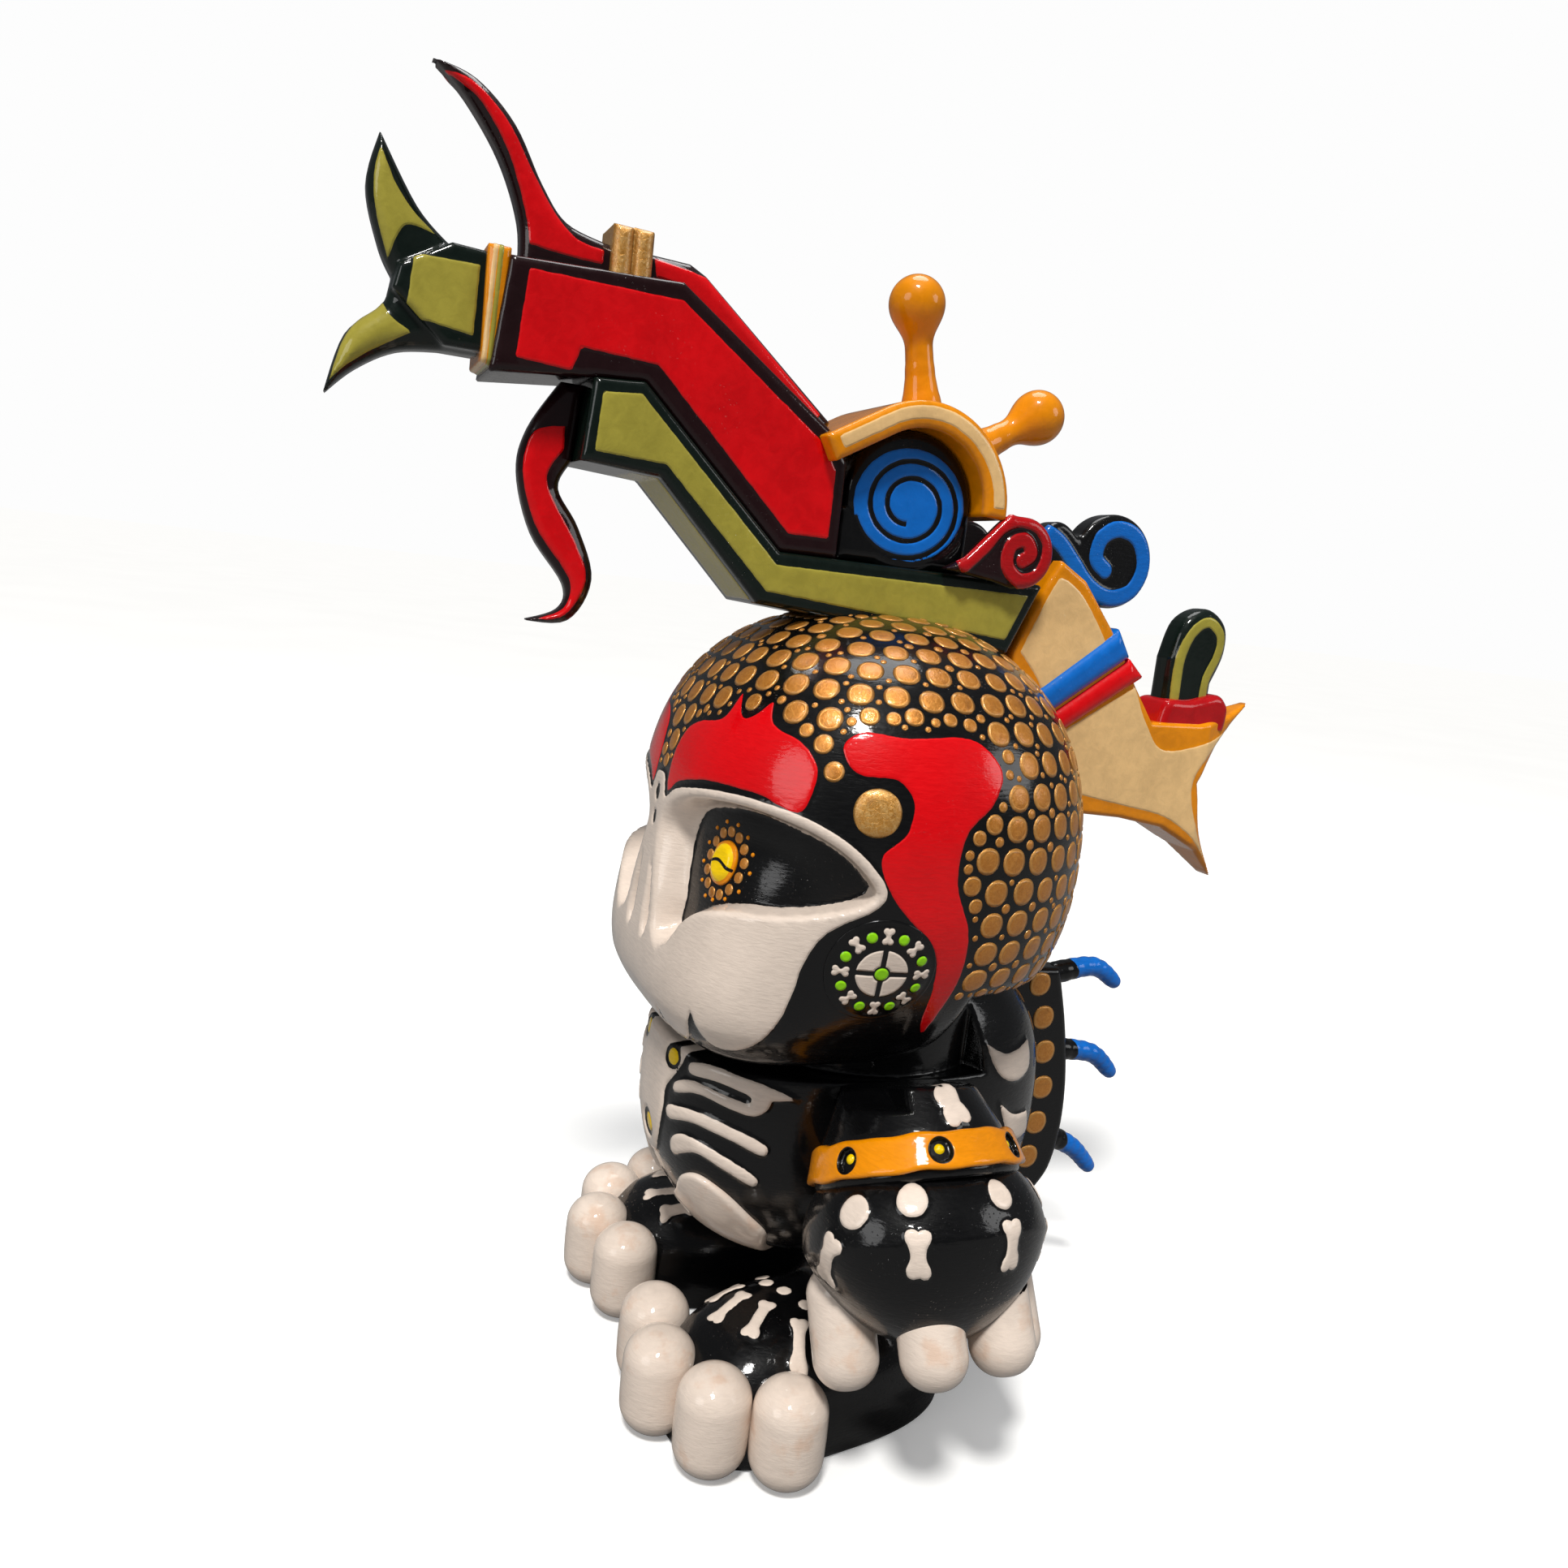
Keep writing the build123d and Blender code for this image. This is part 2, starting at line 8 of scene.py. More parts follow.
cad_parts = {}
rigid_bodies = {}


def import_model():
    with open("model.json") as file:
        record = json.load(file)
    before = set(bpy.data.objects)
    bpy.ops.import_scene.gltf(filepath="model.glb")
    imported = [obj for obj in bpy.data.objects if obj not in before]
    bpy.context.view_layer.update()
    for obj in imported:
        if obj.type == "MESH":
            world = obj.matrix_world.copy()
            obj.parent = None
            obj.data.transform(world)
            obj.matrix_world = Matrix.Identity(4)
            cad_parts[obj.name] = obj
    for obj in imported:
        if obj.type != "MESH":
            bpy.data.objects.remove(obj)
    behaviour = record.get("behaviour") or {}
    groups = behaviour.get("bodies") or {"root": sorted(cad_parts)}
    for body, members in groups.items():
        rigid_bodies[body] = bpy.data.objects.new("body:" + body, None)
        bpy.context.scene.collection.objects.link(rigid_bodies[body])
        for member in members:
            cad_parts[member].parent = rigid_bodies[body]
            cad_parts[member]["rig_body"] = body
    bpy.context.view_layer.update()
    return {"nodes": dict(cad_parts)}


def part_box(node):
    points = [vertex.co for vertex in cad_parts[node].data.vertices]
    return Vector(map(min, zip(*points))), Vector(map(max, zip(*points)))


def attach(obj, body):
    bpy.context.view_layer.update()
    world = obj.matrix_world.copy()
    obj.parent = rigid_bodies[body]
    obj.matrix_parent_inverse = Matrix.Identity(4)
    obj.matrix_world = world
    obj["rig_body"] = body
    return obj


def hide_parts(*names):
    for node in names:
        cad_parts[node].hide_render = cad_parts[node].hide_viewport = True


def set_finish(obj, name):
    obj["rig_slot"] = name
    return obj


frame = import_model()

# Alebrije figure: carved, painted and varnished wood. Shapes are worked out in
# millimetres as distance fields in the frame's own axes (it faces -Y, +Z is up, its
# left hand is on +X), meshed, and scaled to metres. Paint edges are distances stored
# on the vertices, which the materials turn into crisp, slightly unsteady brush lines.

MM = 0.001

# ---- camera
CAMERA_AT = (344.9, -165.7, 248.5)
CAMERA_AZIMUTH_DEG = 67.0
CAMERA_PITCH_DEG = 9.1
CAMERA_ROLL_DEG = 6.4
LENS_MM = 27.74

# ---- main masses, close to the frame's
CRANIUM = ((0, 6, 176.5), (74, 66, 68.5), 2.3)
CRANIUM_FLOOR_Z = 138.0
JAW = ((0, -16, 150), (64, 49, 41), 3.1)
JAW_LEAN = (128.0, 0.13)    # the face slopes back above this height, by this much per mm
FACE_Y = 6.0                # the face chart turns about the line x = 0, y = FACE_Y
FACE_R = 70.0
NECK_Y = 12.0
NECK_HUMP_R = 44.0
NECK_HUMP_TOP_Z = 134.0
JAW_REAR_DEG = 8.0
BACK_STOP_DEG = 32.0
# (distance from the neck's axis, height): the turning head keeps above these
FLANK_SWEEP = [(-1, 108.7), (50, 108.7), (55, 110.6), (62, 113.6), (68.5, 116.6), (73.5, 119.6), (78, 124),
    (82, 129), (85.5, 137.7), (200, 137.7), (200, 300), (-1, 300)]
FLANK_AHEAD_DEG = 12.0      # from this far ahead of sideways, only the jaw's slimmer flank passes the arms
JAW_AIR = 0.45
JAW_SWEEP = [(-1, 108.7), (66, 108.7), (76, 113), (84, 121.5), (92, 137.7), (200, 137.7), (200, 300),
    (-1, 300)]
TORSO = ((0, 13, 91), (48, 66, 54), 2.5)
TORSO_Y = 13.0
TORSO_R = 52.0
SHOULDER = (50, 7, 115)
ARM_TILT_DEG = 31.0
ARM_R = 31.0                # the arm chart is unrolled at this radius

# ---- palette
BLACK = "060607"
BONE = "EBDACB"
RED = "E3000B"
CRIMSON = "B80A12"
OLIVE = "ABA03F"
BOTTLE = "07150F"
MAROON = "1E0508"
ORANGE = "EE9000"
CREAM = "F6CB8C"
BLUE = "0A6FD0"
COPPER = "C67C28"
GOLD = "C98A35"
YELLOW = "FFD400"
LIME = "93DE08"


# ---- outlines
def bend(points, sharp=(), closed=True, per_span=6):
    """Smooth curve through the points, with a corner at each index in sharp."""
    pts = np.array(points, float)
    n = len(pts)
    out = []
    for i in range(n if closed else n - 1):
        j = (i + 1) % n
        before = pts[i - 1] if closed or i > 0 else pts[i]
        after = pts[(j + 1) % n] if closed or j < n - 1 else pts[j]
        m0 = (pts[j] - pts[i]) * 0.6 if i in sharp else (pts[j] - before) / 2
        m1 = (pts[j] - pts[i]) * 0.6 if j in sharp else (after - pts[i]) / 2
        for t in np.arange(per_span) / per_span:
            h = (2 * t**3 - 3 * t**2 + 1, t**3 - 2 * t**2 + t, 3 * t**2 - 2 * t**3, t**3 - t**2)
            out.append(h[0] * pts[i] + h[1] * m0 + h[2] * pts[j] + h[3] * m1)
    if not closed:
        out.append(pts[-1])
    return np.array(out)


def chain(edges, straight=()):
    """Closed outline from a chain of curves that meet at corners; the numbered ones are straight runs."""
    out = []
    for i, edge in enumerate(edges):
        points = np.array(edge, float) if i in straight else bend(edge, closed=False)
        out.extend(points[:-1])
    return np.array(out)


def outline_distance(u, v, outline):
    """Distance from the points to a closed outline, negative inside it."""
    best = np.float32(1e9)
    inside = False
    ends = np.roll(outline, -1, axis=0)
    for (au, av), (bu, bv) in zip(np.asarray(outline, np.float32), np.asarray(ends, np.float32)):
        eu, ev = bu - au, bv - av
        wu, wv = u - au, v - av
        t = np.clip((wu * eu + wv * ev) / max(eu * eu + ev * ev, 1e-9), 0, 1)
        best = np.minimum(best, (wu - eu * t) ** 2 + (wv - ev * t) ** 2)
        if av != bv:
            crosses = ((av > v) != (bv > v)) & (wu < eu * wv / (bv - av))
            inside = inside ^ crosses
    return np.where(inside, -1, 1) * np.sqrt(best)


def path_distance(u, v, path):
    """Distance from the points to an open path."""
    best = np.float32(1e9)
    for (au, av), (bu, bv) in zip(path[:-1], path[1:]):
        eu, ev = bu - au, bv - av
        t = np.clip(((u - au) * eu + (v - av) * ev) / max(eu * eu + ev * ev, 1e-9), 0, 1)
        best = np.minimum(best, (u - au - eu * t) ** 2 + (v - av - ev * t) ** 2)
    return np.sqrt(best)


# ---- fields
def melt(a, b, k):
    """Union with a soft fillet of about k mm."""
    h = np.maximum(k - np.abs(a - b), 0) / k
    return np.minimum(a, b) - h * h * k / 4


def trim(a, b, k):
    """Intersection with a rounded edge."""
    return -melt(-a, -b, k)


def blob(centre, half, power):
    """Superellipsoid, as a distance in mm that is exact on its surface."""
    def field(x, y, z):
        total, slope = 0.0, 0.0
        for value, c, h in zip((x, y, z), centre, half):
            q = np.abs(value - c) / h + 1e-4
            total = total + q**power
            slope = slope + (q ** (power - 1) / h) ** 2
        size = total ** (1 / power)
        return (size - 1) * size ** (power - 1) / np.sqrt(slope)
    return field


def rounded(side, face, edge_r):
    """Outside of a shape given by how far past its side and its face a place is, with a rounded edge."""
    side, face = side + edge_r, face + edge_r
    return np.minimum(np.maximum(side, face), 0) + np.hypot(np.maximum(side, 0), np.maximum(face, 0)) - edge_r


def slab(outline, half_t, edge_r=1.5, middle_x=0.0):
    """Board cut to an outline in the (y, z) plane, with rounded edges."""
    def field(x, y, z):
        return rounded(outline_distance(y, z, outline), np.abs(x - middle_x) - half_t, edge_r)
    return field


def rod(points, radii):
    """Round bar through the points, whose radius changes from one to the next."""
    def field(x, y, z):
        best = None
        for a, b, ra, rb in zip(points[:-1], points[1:], radii[:-1], radii[1:]):
            e = [q - p for p, q in zip(a, b)]
            w = [value - p for value, p in zip((x, y, z), a)]
            t = np.clip(sum(i * j for i, j in zip(w, e)) / sum(i * i for i in e), 0, 1)
            d = np.sqrt(sum((i - j * t) ** 2 for i, j in zip(w, e))) - (ra + (rb - ra) * t)
            best = d if best is None else melt(best, d, 0.8)
        return best
    return field


def arm_axes(x, y, z):
    """Arm coordinates: forwards, outwards and down the left arm's axis."""
    tilt = math.radians(ARM_TILT_DEG)
    dx, dy, dz = x - SHOULDER[0], y - SHOULDER[1], z - SHOULDER[2]
    return -dy + 0 * dx, dx * math.cos(tilt) + dz * math.sin(tilt), dx * math.sin(tilt) - dz * math.cos(tilt)


def arm_point(forward, outward, down):
    """Where a point given in arm coordinates is in the frame."""
    tilt = math.radians(ARM_TILT_DEG)
    return (SHOULDER[0] + outward * math.cos(tilt) + down * math.sin(tilt), SHOULDER[1] - forward,
            SHOULDER[2] + outward * math.sin(tilt) - down * math.cos(tilt))


def face_chart(x, y, z):
    """Unrolled head: mm round from the middle of the face, and height."""
    return np.arctan2(np.abs(x), FACE_Y - y) * FACE_R, z


def chest_chart(x, y, z):
    return np.arctan2(np.abs(x), TORSO_Y - y) * TORSO_R, z


def arm_chart(x, y, z):
    """Unrolled arm: mm round from its front towards its outside, and distance down it."""
    forward, outward, down = arm_axes(x, y, z)
    return np.arctan2(outward, forward) * ARM_R, down


def on_chart(points, radius):
    """Points given as (degrees round, height), in the chart's mm."""
    return [(math.radians(a) * radius, h) for a, h in points]


def on_face(points, sharp=()):
    return bend(on_chart(points, FACE_R), sharp)


def on_chest(points, sharp=()):
    return bend(on_chart(points, TORSO_R), sharp)


# ---- meshing
CORNERS = [(i, j, k) for i in (0, 1) for j in (0, 1) for k in (0, 1)]
EDGES = [(a, b) for a in CORNERS for b in CORNERS
         if sum(b) - sum(a) == 1 and all(q >= p for p, q in zip(a, b))]


def surface_net(field, low, high, step):
    """Vertices and quads of the field's zero surface inside a box."""
    count = [int(math.ceil((h - l) / step)) + 1 for l, h in zip(low, high)]
    axes = [np.float32(l) + np.arange(n, dtype=np.float32) * np.float32(step) for l, n in zip(low, count)]
    x, y, z = axes[0][:, None, None], axes[1][None, :, None], axes[2][None, None, :]
    d = np.broadcast_to(field(x, y, z), count).astype(np.float32)
    inside = d < 0
    total = sum(inside[i:i + count[0] - 1, j:j + count[1] - 1, k:k + count[2] - 1].astype(np.uint8)
                for i, j, k in CORNERS)
    cells = np.nonzero((total > 0) & (total < 8))
    place = np.zeros((len(cells[0]), 3), np.float32)
    hits = np.zeros(len(cells[0]), np.float32)
    for a, b in EDGES:
        da = d[tuple(c + o for c, o in zip(cells, a))]
        db = d[tuple(c + o for c, o in zip(cells, b))]
        cross = (da < 0) != (db < 0)
        t = np.where(cross, da / np.where(cross, da - db, 1), 0)
        for axis in range(3):
            place[:, axis] += cross * (a[axis] + t * (b[axis] - a[axis]))
        hits += cross
    verts = np.array(low, np.float32) + step * (np.stack(cells, 1) + place / hits[:, None])
    index = np.full([n - 1 for n in count], -1, np.int32)
    index[cells] = np.arange(len(verts))
    quads = []
    for axis in range(3):
        p, q = (axis + 1) % 3, (axis + 2) % 3
        first = [slice(1, -1)] * 3
        second = [slice(1, -1)] * 3
        first[axis], second[axis] = slice(0, -1), slice(1, None)
        flip = np.nonzero(inside[tuple(first)] != inside[tuple(second)])
        at = [f + (0 if i == axis else 1) for i, f in enumerate(flip)]
        ring = []
        for back_p, back_q in ((1, 1), (0, 1), (0, 0), (1, 0)):
            cell = list(at)
            cell[p] = cell[p] - back_p
            cell[q] = cell[q] - back_q
            ring.append(index[tuple(cell)])
        ring = np.stack(ring, 1)
        outward = inside[tuple(at)]
        quads.append(np.where(outward[:, None], ring, ring[:, ::-1]))
    return verts, np.concatenate(quads)


def slope_at(field, verts, reach=0.05):
    """The field's value and gradient at the vertices."""
    x, y, z = verts[:, 0], verts[:, 1], verts[:, 2]
    value = field(x, y, z)
    grad = np.stack([(field(x + reach * (i == 0), y + reach * (i == 1), z + reach * (i == 2))
                      - field(x - reach * (i == 0), y - reach * (i == 1), z - reach * (i == 2))) / (2 * reach)
                     for i in range(3)], 1)
    return value, grad


def settle(field, verts, steps=3, stride=0.5):
    """Moves vertices onto the field's surface and returns them with their normals."""
    verts = verts.astype(np.float64)
    for _ in range(steps):
        value, grad = slope_at(field, verts)
        move = -(value / np.maximum((grad**2).sum(1), 0.05))[:, None] * grad
        length = np.linalg.norm(move, axis=1, keepdims=True)
        verts = verts + move * np.minimum(1, stride / np.maximum(length, 1e-9))
    _, grad = slope_at(field, verts)
    return verts, grad / np.maximum(np.linalg.norm(grad, axis=1, keepdims=True), 1e-9)


def make_mesh(name, verts, faces, marks):
    """Mesh in metres, with each mark stored on its vertices."""
    mesh = bpy.data.meshes.new(name)
    corners = faces.shape[1]
    mesh.vertices.add(len(verts))
    mesh.vertices.foreach_set("co", (verts * MM).astype(np.float32).ravel())
    mesh.loops.add(faces.size)
    mesh.loops.foreach_set("vertex_index", faces.astype(np.int32).ravel())
    mesh.polygons.add(len(faces))
    mesh.polygons.foreach_set("loop_start", np.arange(0, faces.size, corners, dtype=np.int32))
    mesh.polygons.foreach_set("loop_total", np.full(len(faces), corners, np.int32))
    mesh.update(calc_edges=True)
    mesh.polygons.foreach_set("use_smooth", np.ones(len(faces), bool))
    for mark, values in marks.items():
        layer = mesh.attributes.new(mark, "FLOAT", "POINT")
        layer.data.foreach_set("value", np.broadcast_to(values, len(verts)).astype(np.float32))
    return mesh


def settle_in(name, mesh, material, body, node=None, slot=None):
    """Puts a finished mesh in the scene as a piece that rides on a body."""
    piece = bpy.data.objects.new(name, mesh)
    bpy.context.scene.collection.objects.link(piece)
    mesh.materials.append(material)
    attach(piece, body)
    if node:
        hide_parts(node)
    if slot:
        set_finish(piece, slot)
    return piece


def node_box(node, margin):
    """Lowest and highest corner of a node in mm, with a little room around it."""
    low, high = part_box(node)
    return [value / MM - margin for value in low], [value / MM + margin for value in high]


def carve(name, field, material, body, node, slot, step=0.8, marks=None, relief=None, margin=1.6):
    """Sculpted piece in a node's place. marks name distance functions to store; relief raises the paint."""
    verts, quads = surface_net(field, *node_box(node, margin), step)
    verts, normals = settle(field, verts)
    values = {key: rule(*verts.T) for key, rule in (marks or {}).items()}
    if relief:
        verts = verts + normals * relief(values)[:, None]
    return settle_in(name, make_mesh(name, verts, quads, values), material, body, node, slot)


def twin(piece, node=None):
    """The same piece on the figure's right side."""
    name = piece.name.replace("left", "right")
    mesh = piece.data.copy()
    mesh.name = name
    mesh.transform(Matrix.Scale(-1, 4, Vector((1, 0, 0))))
    mesh.flip_normals()
    other = bpy.data.objects.new(name, mesh)
    bpy.context.scene.collection.objects.link(other)
    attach(other, piece["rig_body"])
    if node:
        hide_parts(node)
    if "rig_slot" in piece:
        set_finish(other, piece["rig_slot"])
    return other


def raised(values, *keys, height=0.3, width=0.7):
    """Height of thick paint: full inside the named areas, sloping to nothing at their edges."""
    rise = 0.0
    for key in keys:
        rise = np.maximum(rise, np.clip(0.5 - values[key] / width, 0, 1))
    return height * rise * rise * (3 - 2 * rise)


# ---- materials
def linear(code):
    """Scene colour of a six-digit screen colour."""
    shares = [int(code[i:i + 2], 16) / 255 for i in (0, 2, 4)]
    return [s / 12.92 if s <= 0.04045 else ((s + 0.055) / 1.055) ** 2.4 for s in shares] + [1.0]


class Nodes:
    """Short calls for building one node material."""

    def __init__(self, name):
        self.material = bpy.data.materials.new(name)
        self.material.use_nodes = True
        self.tree = self.material.node_tree
        self.tree.nodes.clear()
        self.place = self.add("ShaderNodeTexCoord").outputs["Object"]

    def add(self, kind, **settings):
        node = self.tree.nodes.new(kind)
        for key, value in settings.items():
            setattr(node, key, value)
        return node

    def put(self, socket, value):
        if isinstance(value, bpy.types.NodeSocket):
            self.tree.links.new(value, socket)
        else:
            socket.default_value = value

    def math(self, operation, a, b=0.0, c=0.0):
        node = self.add("ShaderNodeMath", operation=operation)
        for socket, value in zip(node.inputs, (a, b, c)):
            self.put(socket, value)
        return node.outputs[0]

    def ramp(self, value, low, high, to_low=0.0, to_high=1.0, smooth=True):
        node = self.add("ShaderNodeMapRange", interpolation_type="SMOOTHSTEP" if smooth else "LINEAR")
        for socket, number in zip(node.inputs, (value, low, high, to_low, to_high)):
            self.put(socket, number)
        return node.outputs[0]

    def mix(self, share, a, b, blend="MIX"):
        node = self.add("ShaderNodeMix", data_type="RGBA", blend_type=blend)
        self.put(node.inputs[0], share)
        self.put(node.inputs[6], a)
        self.put(node.inputs[7], b)
        return node.outputs[2]

    def noise(self, scale, detail=3.0, rough=0.5, stretch=None, distortion=0.0):
        """Noise whose scale is in cells per metre, drawn out along an axis by stretch."""
        place = self.place
        if stretch:
            mapping = self.add("ShaderNodeMapping")
            self.put(mapping.inputs["Vector"], place)
            mapping.inputs["Scale"].default_value = stretch
            place = mapping.outputs[0]
        node = self.add("ShaderNodeTexNoise")
        self.put(node.inputs["Vector"], place)
        node.inputs["Scale"].default_value = scale
        node.inputs["Detail"].default_value = detail
        node.inputs["Roughness"].default_value = rough
        node.inputs["Distortion"].default_value = distortion
        return node.outputs["Fac"]

    def attribute(self, name):
        return self.add("ShaderNodeAttribute", attribute_name=name).outputs["Fac"]

    def bump(self, height, distance, strength=1.0, normal=None):
        node = self.add("ShaderNodeBump")
        node.inputs["Strength"].default_value = strength
        node.inputs["Distance"].default_value = distance
        self.put(node.inputs["Height"], height)
        if normal is not None:
            self.put(node.inputs["Normal"], normal)
        return node.outputs[0]

    def dim_bounce(self, colour):
        """Makes the surface a plain darker one for all light that doesn't go straight to the camera."""
        output = next(node for node in self.tree.nodes if node.type == "OUTPUT_MATERIAL")
        shown = output.inputs["Surface"].links[0].from_socket
        dim, path, blend = [self.add(kind) for kind in ("ShaderNodeBsdfDiffuse", "ShaderNodeLightPath",
                                                        "ShaderNodeMixShader")]
        dim.inputs["Color"].default_value = colour
        self.put(blend.inputs[0], path.outputs["Is Camera Ray"])
        self.put(blend.inputs[1], dim.outputs[0])
        self.put(blend.inputs[2], shown)
        self.put(output.inputs["Surface"], blend.outputs[0])

    def finish(self, colour, rough, normal, coat_normal, **constants):
        shader = self.add("ShaderNodeBsdfPrincipled")
        self.put(shader.inputs["Base Color"], colour)
        self.put(shader.inputs["Roughness"], rough)
        self.put(shader.inputs["Normal"], normal)
        self.put(shader.inputs["Coat Normal"], coat_normal)
        for key, value in constants.items():
            shader.inputs[key.replace("_", " ")].default_value = value
        output = self.add("ShaderNodeOutputMaterial")
        self.tree.links.new(shader.outputs[0], output.inputs["Surface"])
        return self.material


def varnished(name, base, layers=(), mottle=0.10, brush=(1, 1, 5), stain=None, wobble=0.22):
    """Hand-painted and varnished wood. layers are (stored distance, colour) from the lowest coat up."""
    n = Nodes(name)
    wave = n.math("MULTIPLY", n.math("SUBTRACT", n.noise(330, 2.0), 0.5), wobble * 2)
    strokes = n.noise(260, 4.0, 0.6, brush, 0.6)
    patches = n.noise(55, 3.0, 0.55)
    colour = linear(base)
    edges = None
    for key, code in layers:
        reach = n.math("ADD", n.attribute(key), wave)
        inside = n.ramp(reach, -0.09, 0.09, 1.0, 0.0)
        lip = n.ramp(reach, -0.5, 0.05, 1.0, 0.0)
        colour = n.mix(inside, colour, linear(code))
        edges = lip if edges is None else n.math("MAXIMUM", edges, lip)
    tone = n.math("ADD", n.ramp(patches, 0.3, 0.7, 1 - mottle, 1 + mottle * 0.4),
                  n.ramp(strokes, 0.3, 0.7, -mottle * 0.6, mottle * 0.6))
    shade = n.add("ShaderNodeCombineColor")
    for socket in shade.inputs:
        n.put(socket, tone)
    colour = n.mix(1.0, colour, shade.outputs[0], "MULTIPLY")
    if stain:
        colour = n.mix(n.ramp(n.noise(95, 4.0, 0.6), 0.52, 0.72, 0.0, 0.45), colour, linear(stain))
    peel = n.noise(620, 2.0, 0.45)
    grain = n.add("ShaderNodeTexVoronoi")
    n.put(grain.inputs["Vector"], n.place)
    grain.inputs["Scale"].default_value = 820
    dusty = n.ramp(n.noise(38, 2.0), 0.54, 0.64)
    specks = n.math("MULTIPLY", n.ramp(grain.outputs["Distance"], 0.10, 0.22, 1.0, 0.0), dusty)
    height = n.math("ADD", n.math("MULTIPLY", strokes, 0.5), n.math("MULTIPLY", peel, 0.25))
    if edges is not None:
        height = n.math("ADD", height, n.math("MULTIPLY", edges, 0.6))
    normal = n.bump(height, 0.00022)
    gloss_height = n.math("ADD", n.math("MULTIPLY", height, 0.6), n.math("MULTIPLY", specks, 0.8))
    coat_normal = n.bump(gloss_height, 0.00016)
    rough = n.ramp(strokes, 0.2, 0.8, 0.30, 0.50)
    return n.finish(colour, rough, normal, coat_normal, Coat_Weight=1.0, Coat_Roughness=0.045, Coat_IOR=1.38,
                    Specular_IOR_Level=0.1)


def metal_paint(name, code, shine, metallic, pitted):
    """Metallic paint laid on thickly, with a paler ring near the rim of each drop."""
    n = Nodes(name)
    ring = n.attribute("ring")
    scratch = n.noise(900, 5.0, 0.7, None, 1.2)
    cloud = n.noise(240, 3.0)
    colour = n.mix(n.ramp(scratch, 0.35, 0.75, 0.0, 0.55), linear(code), linear(shine))
    colour = n.mix(n.ramp(cloud, 0.55, 0.8, 0.0, 0.5), colour, linear("7A4210"))
    rim = n.math("MULTIPLY", n.ramp(ring, 0.66, 0.78), n.ramp(ring, 0.93, 0.99, 1.0, 0.0))
    colour = n.mix(n.math("MULTIPLY", rim, 0.5), colour, linear("DDA75C"))
    height = n.math("ADD", n.math("MULTIPLY", scratch, pitted), n.math("MULTIPLY", rim, 0.35))
    normal = n.bump(height, 0.00035)
    return n.finish(colour, n.ramp(scratch, 0.2, 0.8, 0.30, 0.48), normal, n.bump(scratch, 0.00008),
                    Metallic=metallic, Coat_Weight=0.7, Coat_Roughness=0.07, Coat_IOR=1.42)


# ---- paint shapes
def bone_shape(u, v, start, end, width, shaft_share=0.2):
    """Little bone from start to end: a shaft between flared, two-lobed ends."""
    (au, av), (bu, bv) = start, end
    length = math.hypot(bu - au, bv - av)
    du, dv = (bu - au) / length, (bv - av) / length
    along = (u - au) * du + (v - av) * dv
    across = np.abs((v - av) * du - (u - au) * dv)
    lobe = width * 0.28
    tip = np.abs(along - length / 2) - length / 2 + lobe
    shaft = np.maximum(tip, across - width * shaft_share)
    ends = np.sqrt(tip**2 + (across - width * 0.25) ** 2) - lobe
    return melt(shaft, ends, width * 0.35)


def oval(u, v, centre, radii):
    """About the distance to an upright ellipse."""
    q = np.sqrt(((u - centre[0]) / radii[0]) ** 2 + ((v - centre[1]) / radii[1]) ** 2)
    return (q - 1) * min(radii)


def nearest(*distances):
    best = distances[0]
    for other in distances[1:]:
        best = np.minimum(best, other)
    return best


def side_panel(outline, half_t, edge=1.2):
    """Distance to a panel painted on both flanks of a board."""
    def rule(x, y, z):
        return np.maximum(outline_distance(y, z, outline), half_t - edge - np.abs(x))
    return rule


def side_band(path, half_width, half_t, edge=1.2):
    """Distance to a brush band along a path on both flanks of a board."""
    def rule(x, y, z):
        return np.maximum(path_distance(y, z, path) - half_width, half_t - edge - np.abs(x))
    return rule


def lens_grid(n):
    """Closed lens of quads: places on the unit disc, which are on its top and its rim, and the faces."""
    line = np.linspace(-1, 1, n + 1)
    a, b = [g.ravel() for g in np.meshgrid(line, line, indexing="ij")]
    u, v = a * np.sqrt(1 - b * b / 2), b * np.sqrt(1 - a * a / 2)
    rim = np.maximum(np.abs(a), np.abs(b)) > 1 - 1e-6
    top = np.arange((n + 1) ** 2).reshape(n + 1, n + 1)
    under = top.copy()
    inner = ~rim.reshape(n + 1, n + 1)
    under[inner] = (n + 1) ** 2 + np.arange(inner.sum())
    upper, lower = [np.stack([g[:-1, :-1], g[1:, :-1], g[1:, 1:], g[:-1, 1:]], -1).reshape(-1, 4)
                    for g in (top, under)]
    faces = np.concatenate([upper, lower[:, ::-1]])
    keep = inner.ravel()
    u, v = np.concatenate([u, u[keep]]), np.concatenate([v, v[keep]])
    is_top = np.concatenate([~rim, np.zeros(keep.sum(), bool)])
    is_rim = np.concatenate([rim, np.zeros(keep.sum(), bool)])
    return u, v, is_top, is_rim, faces


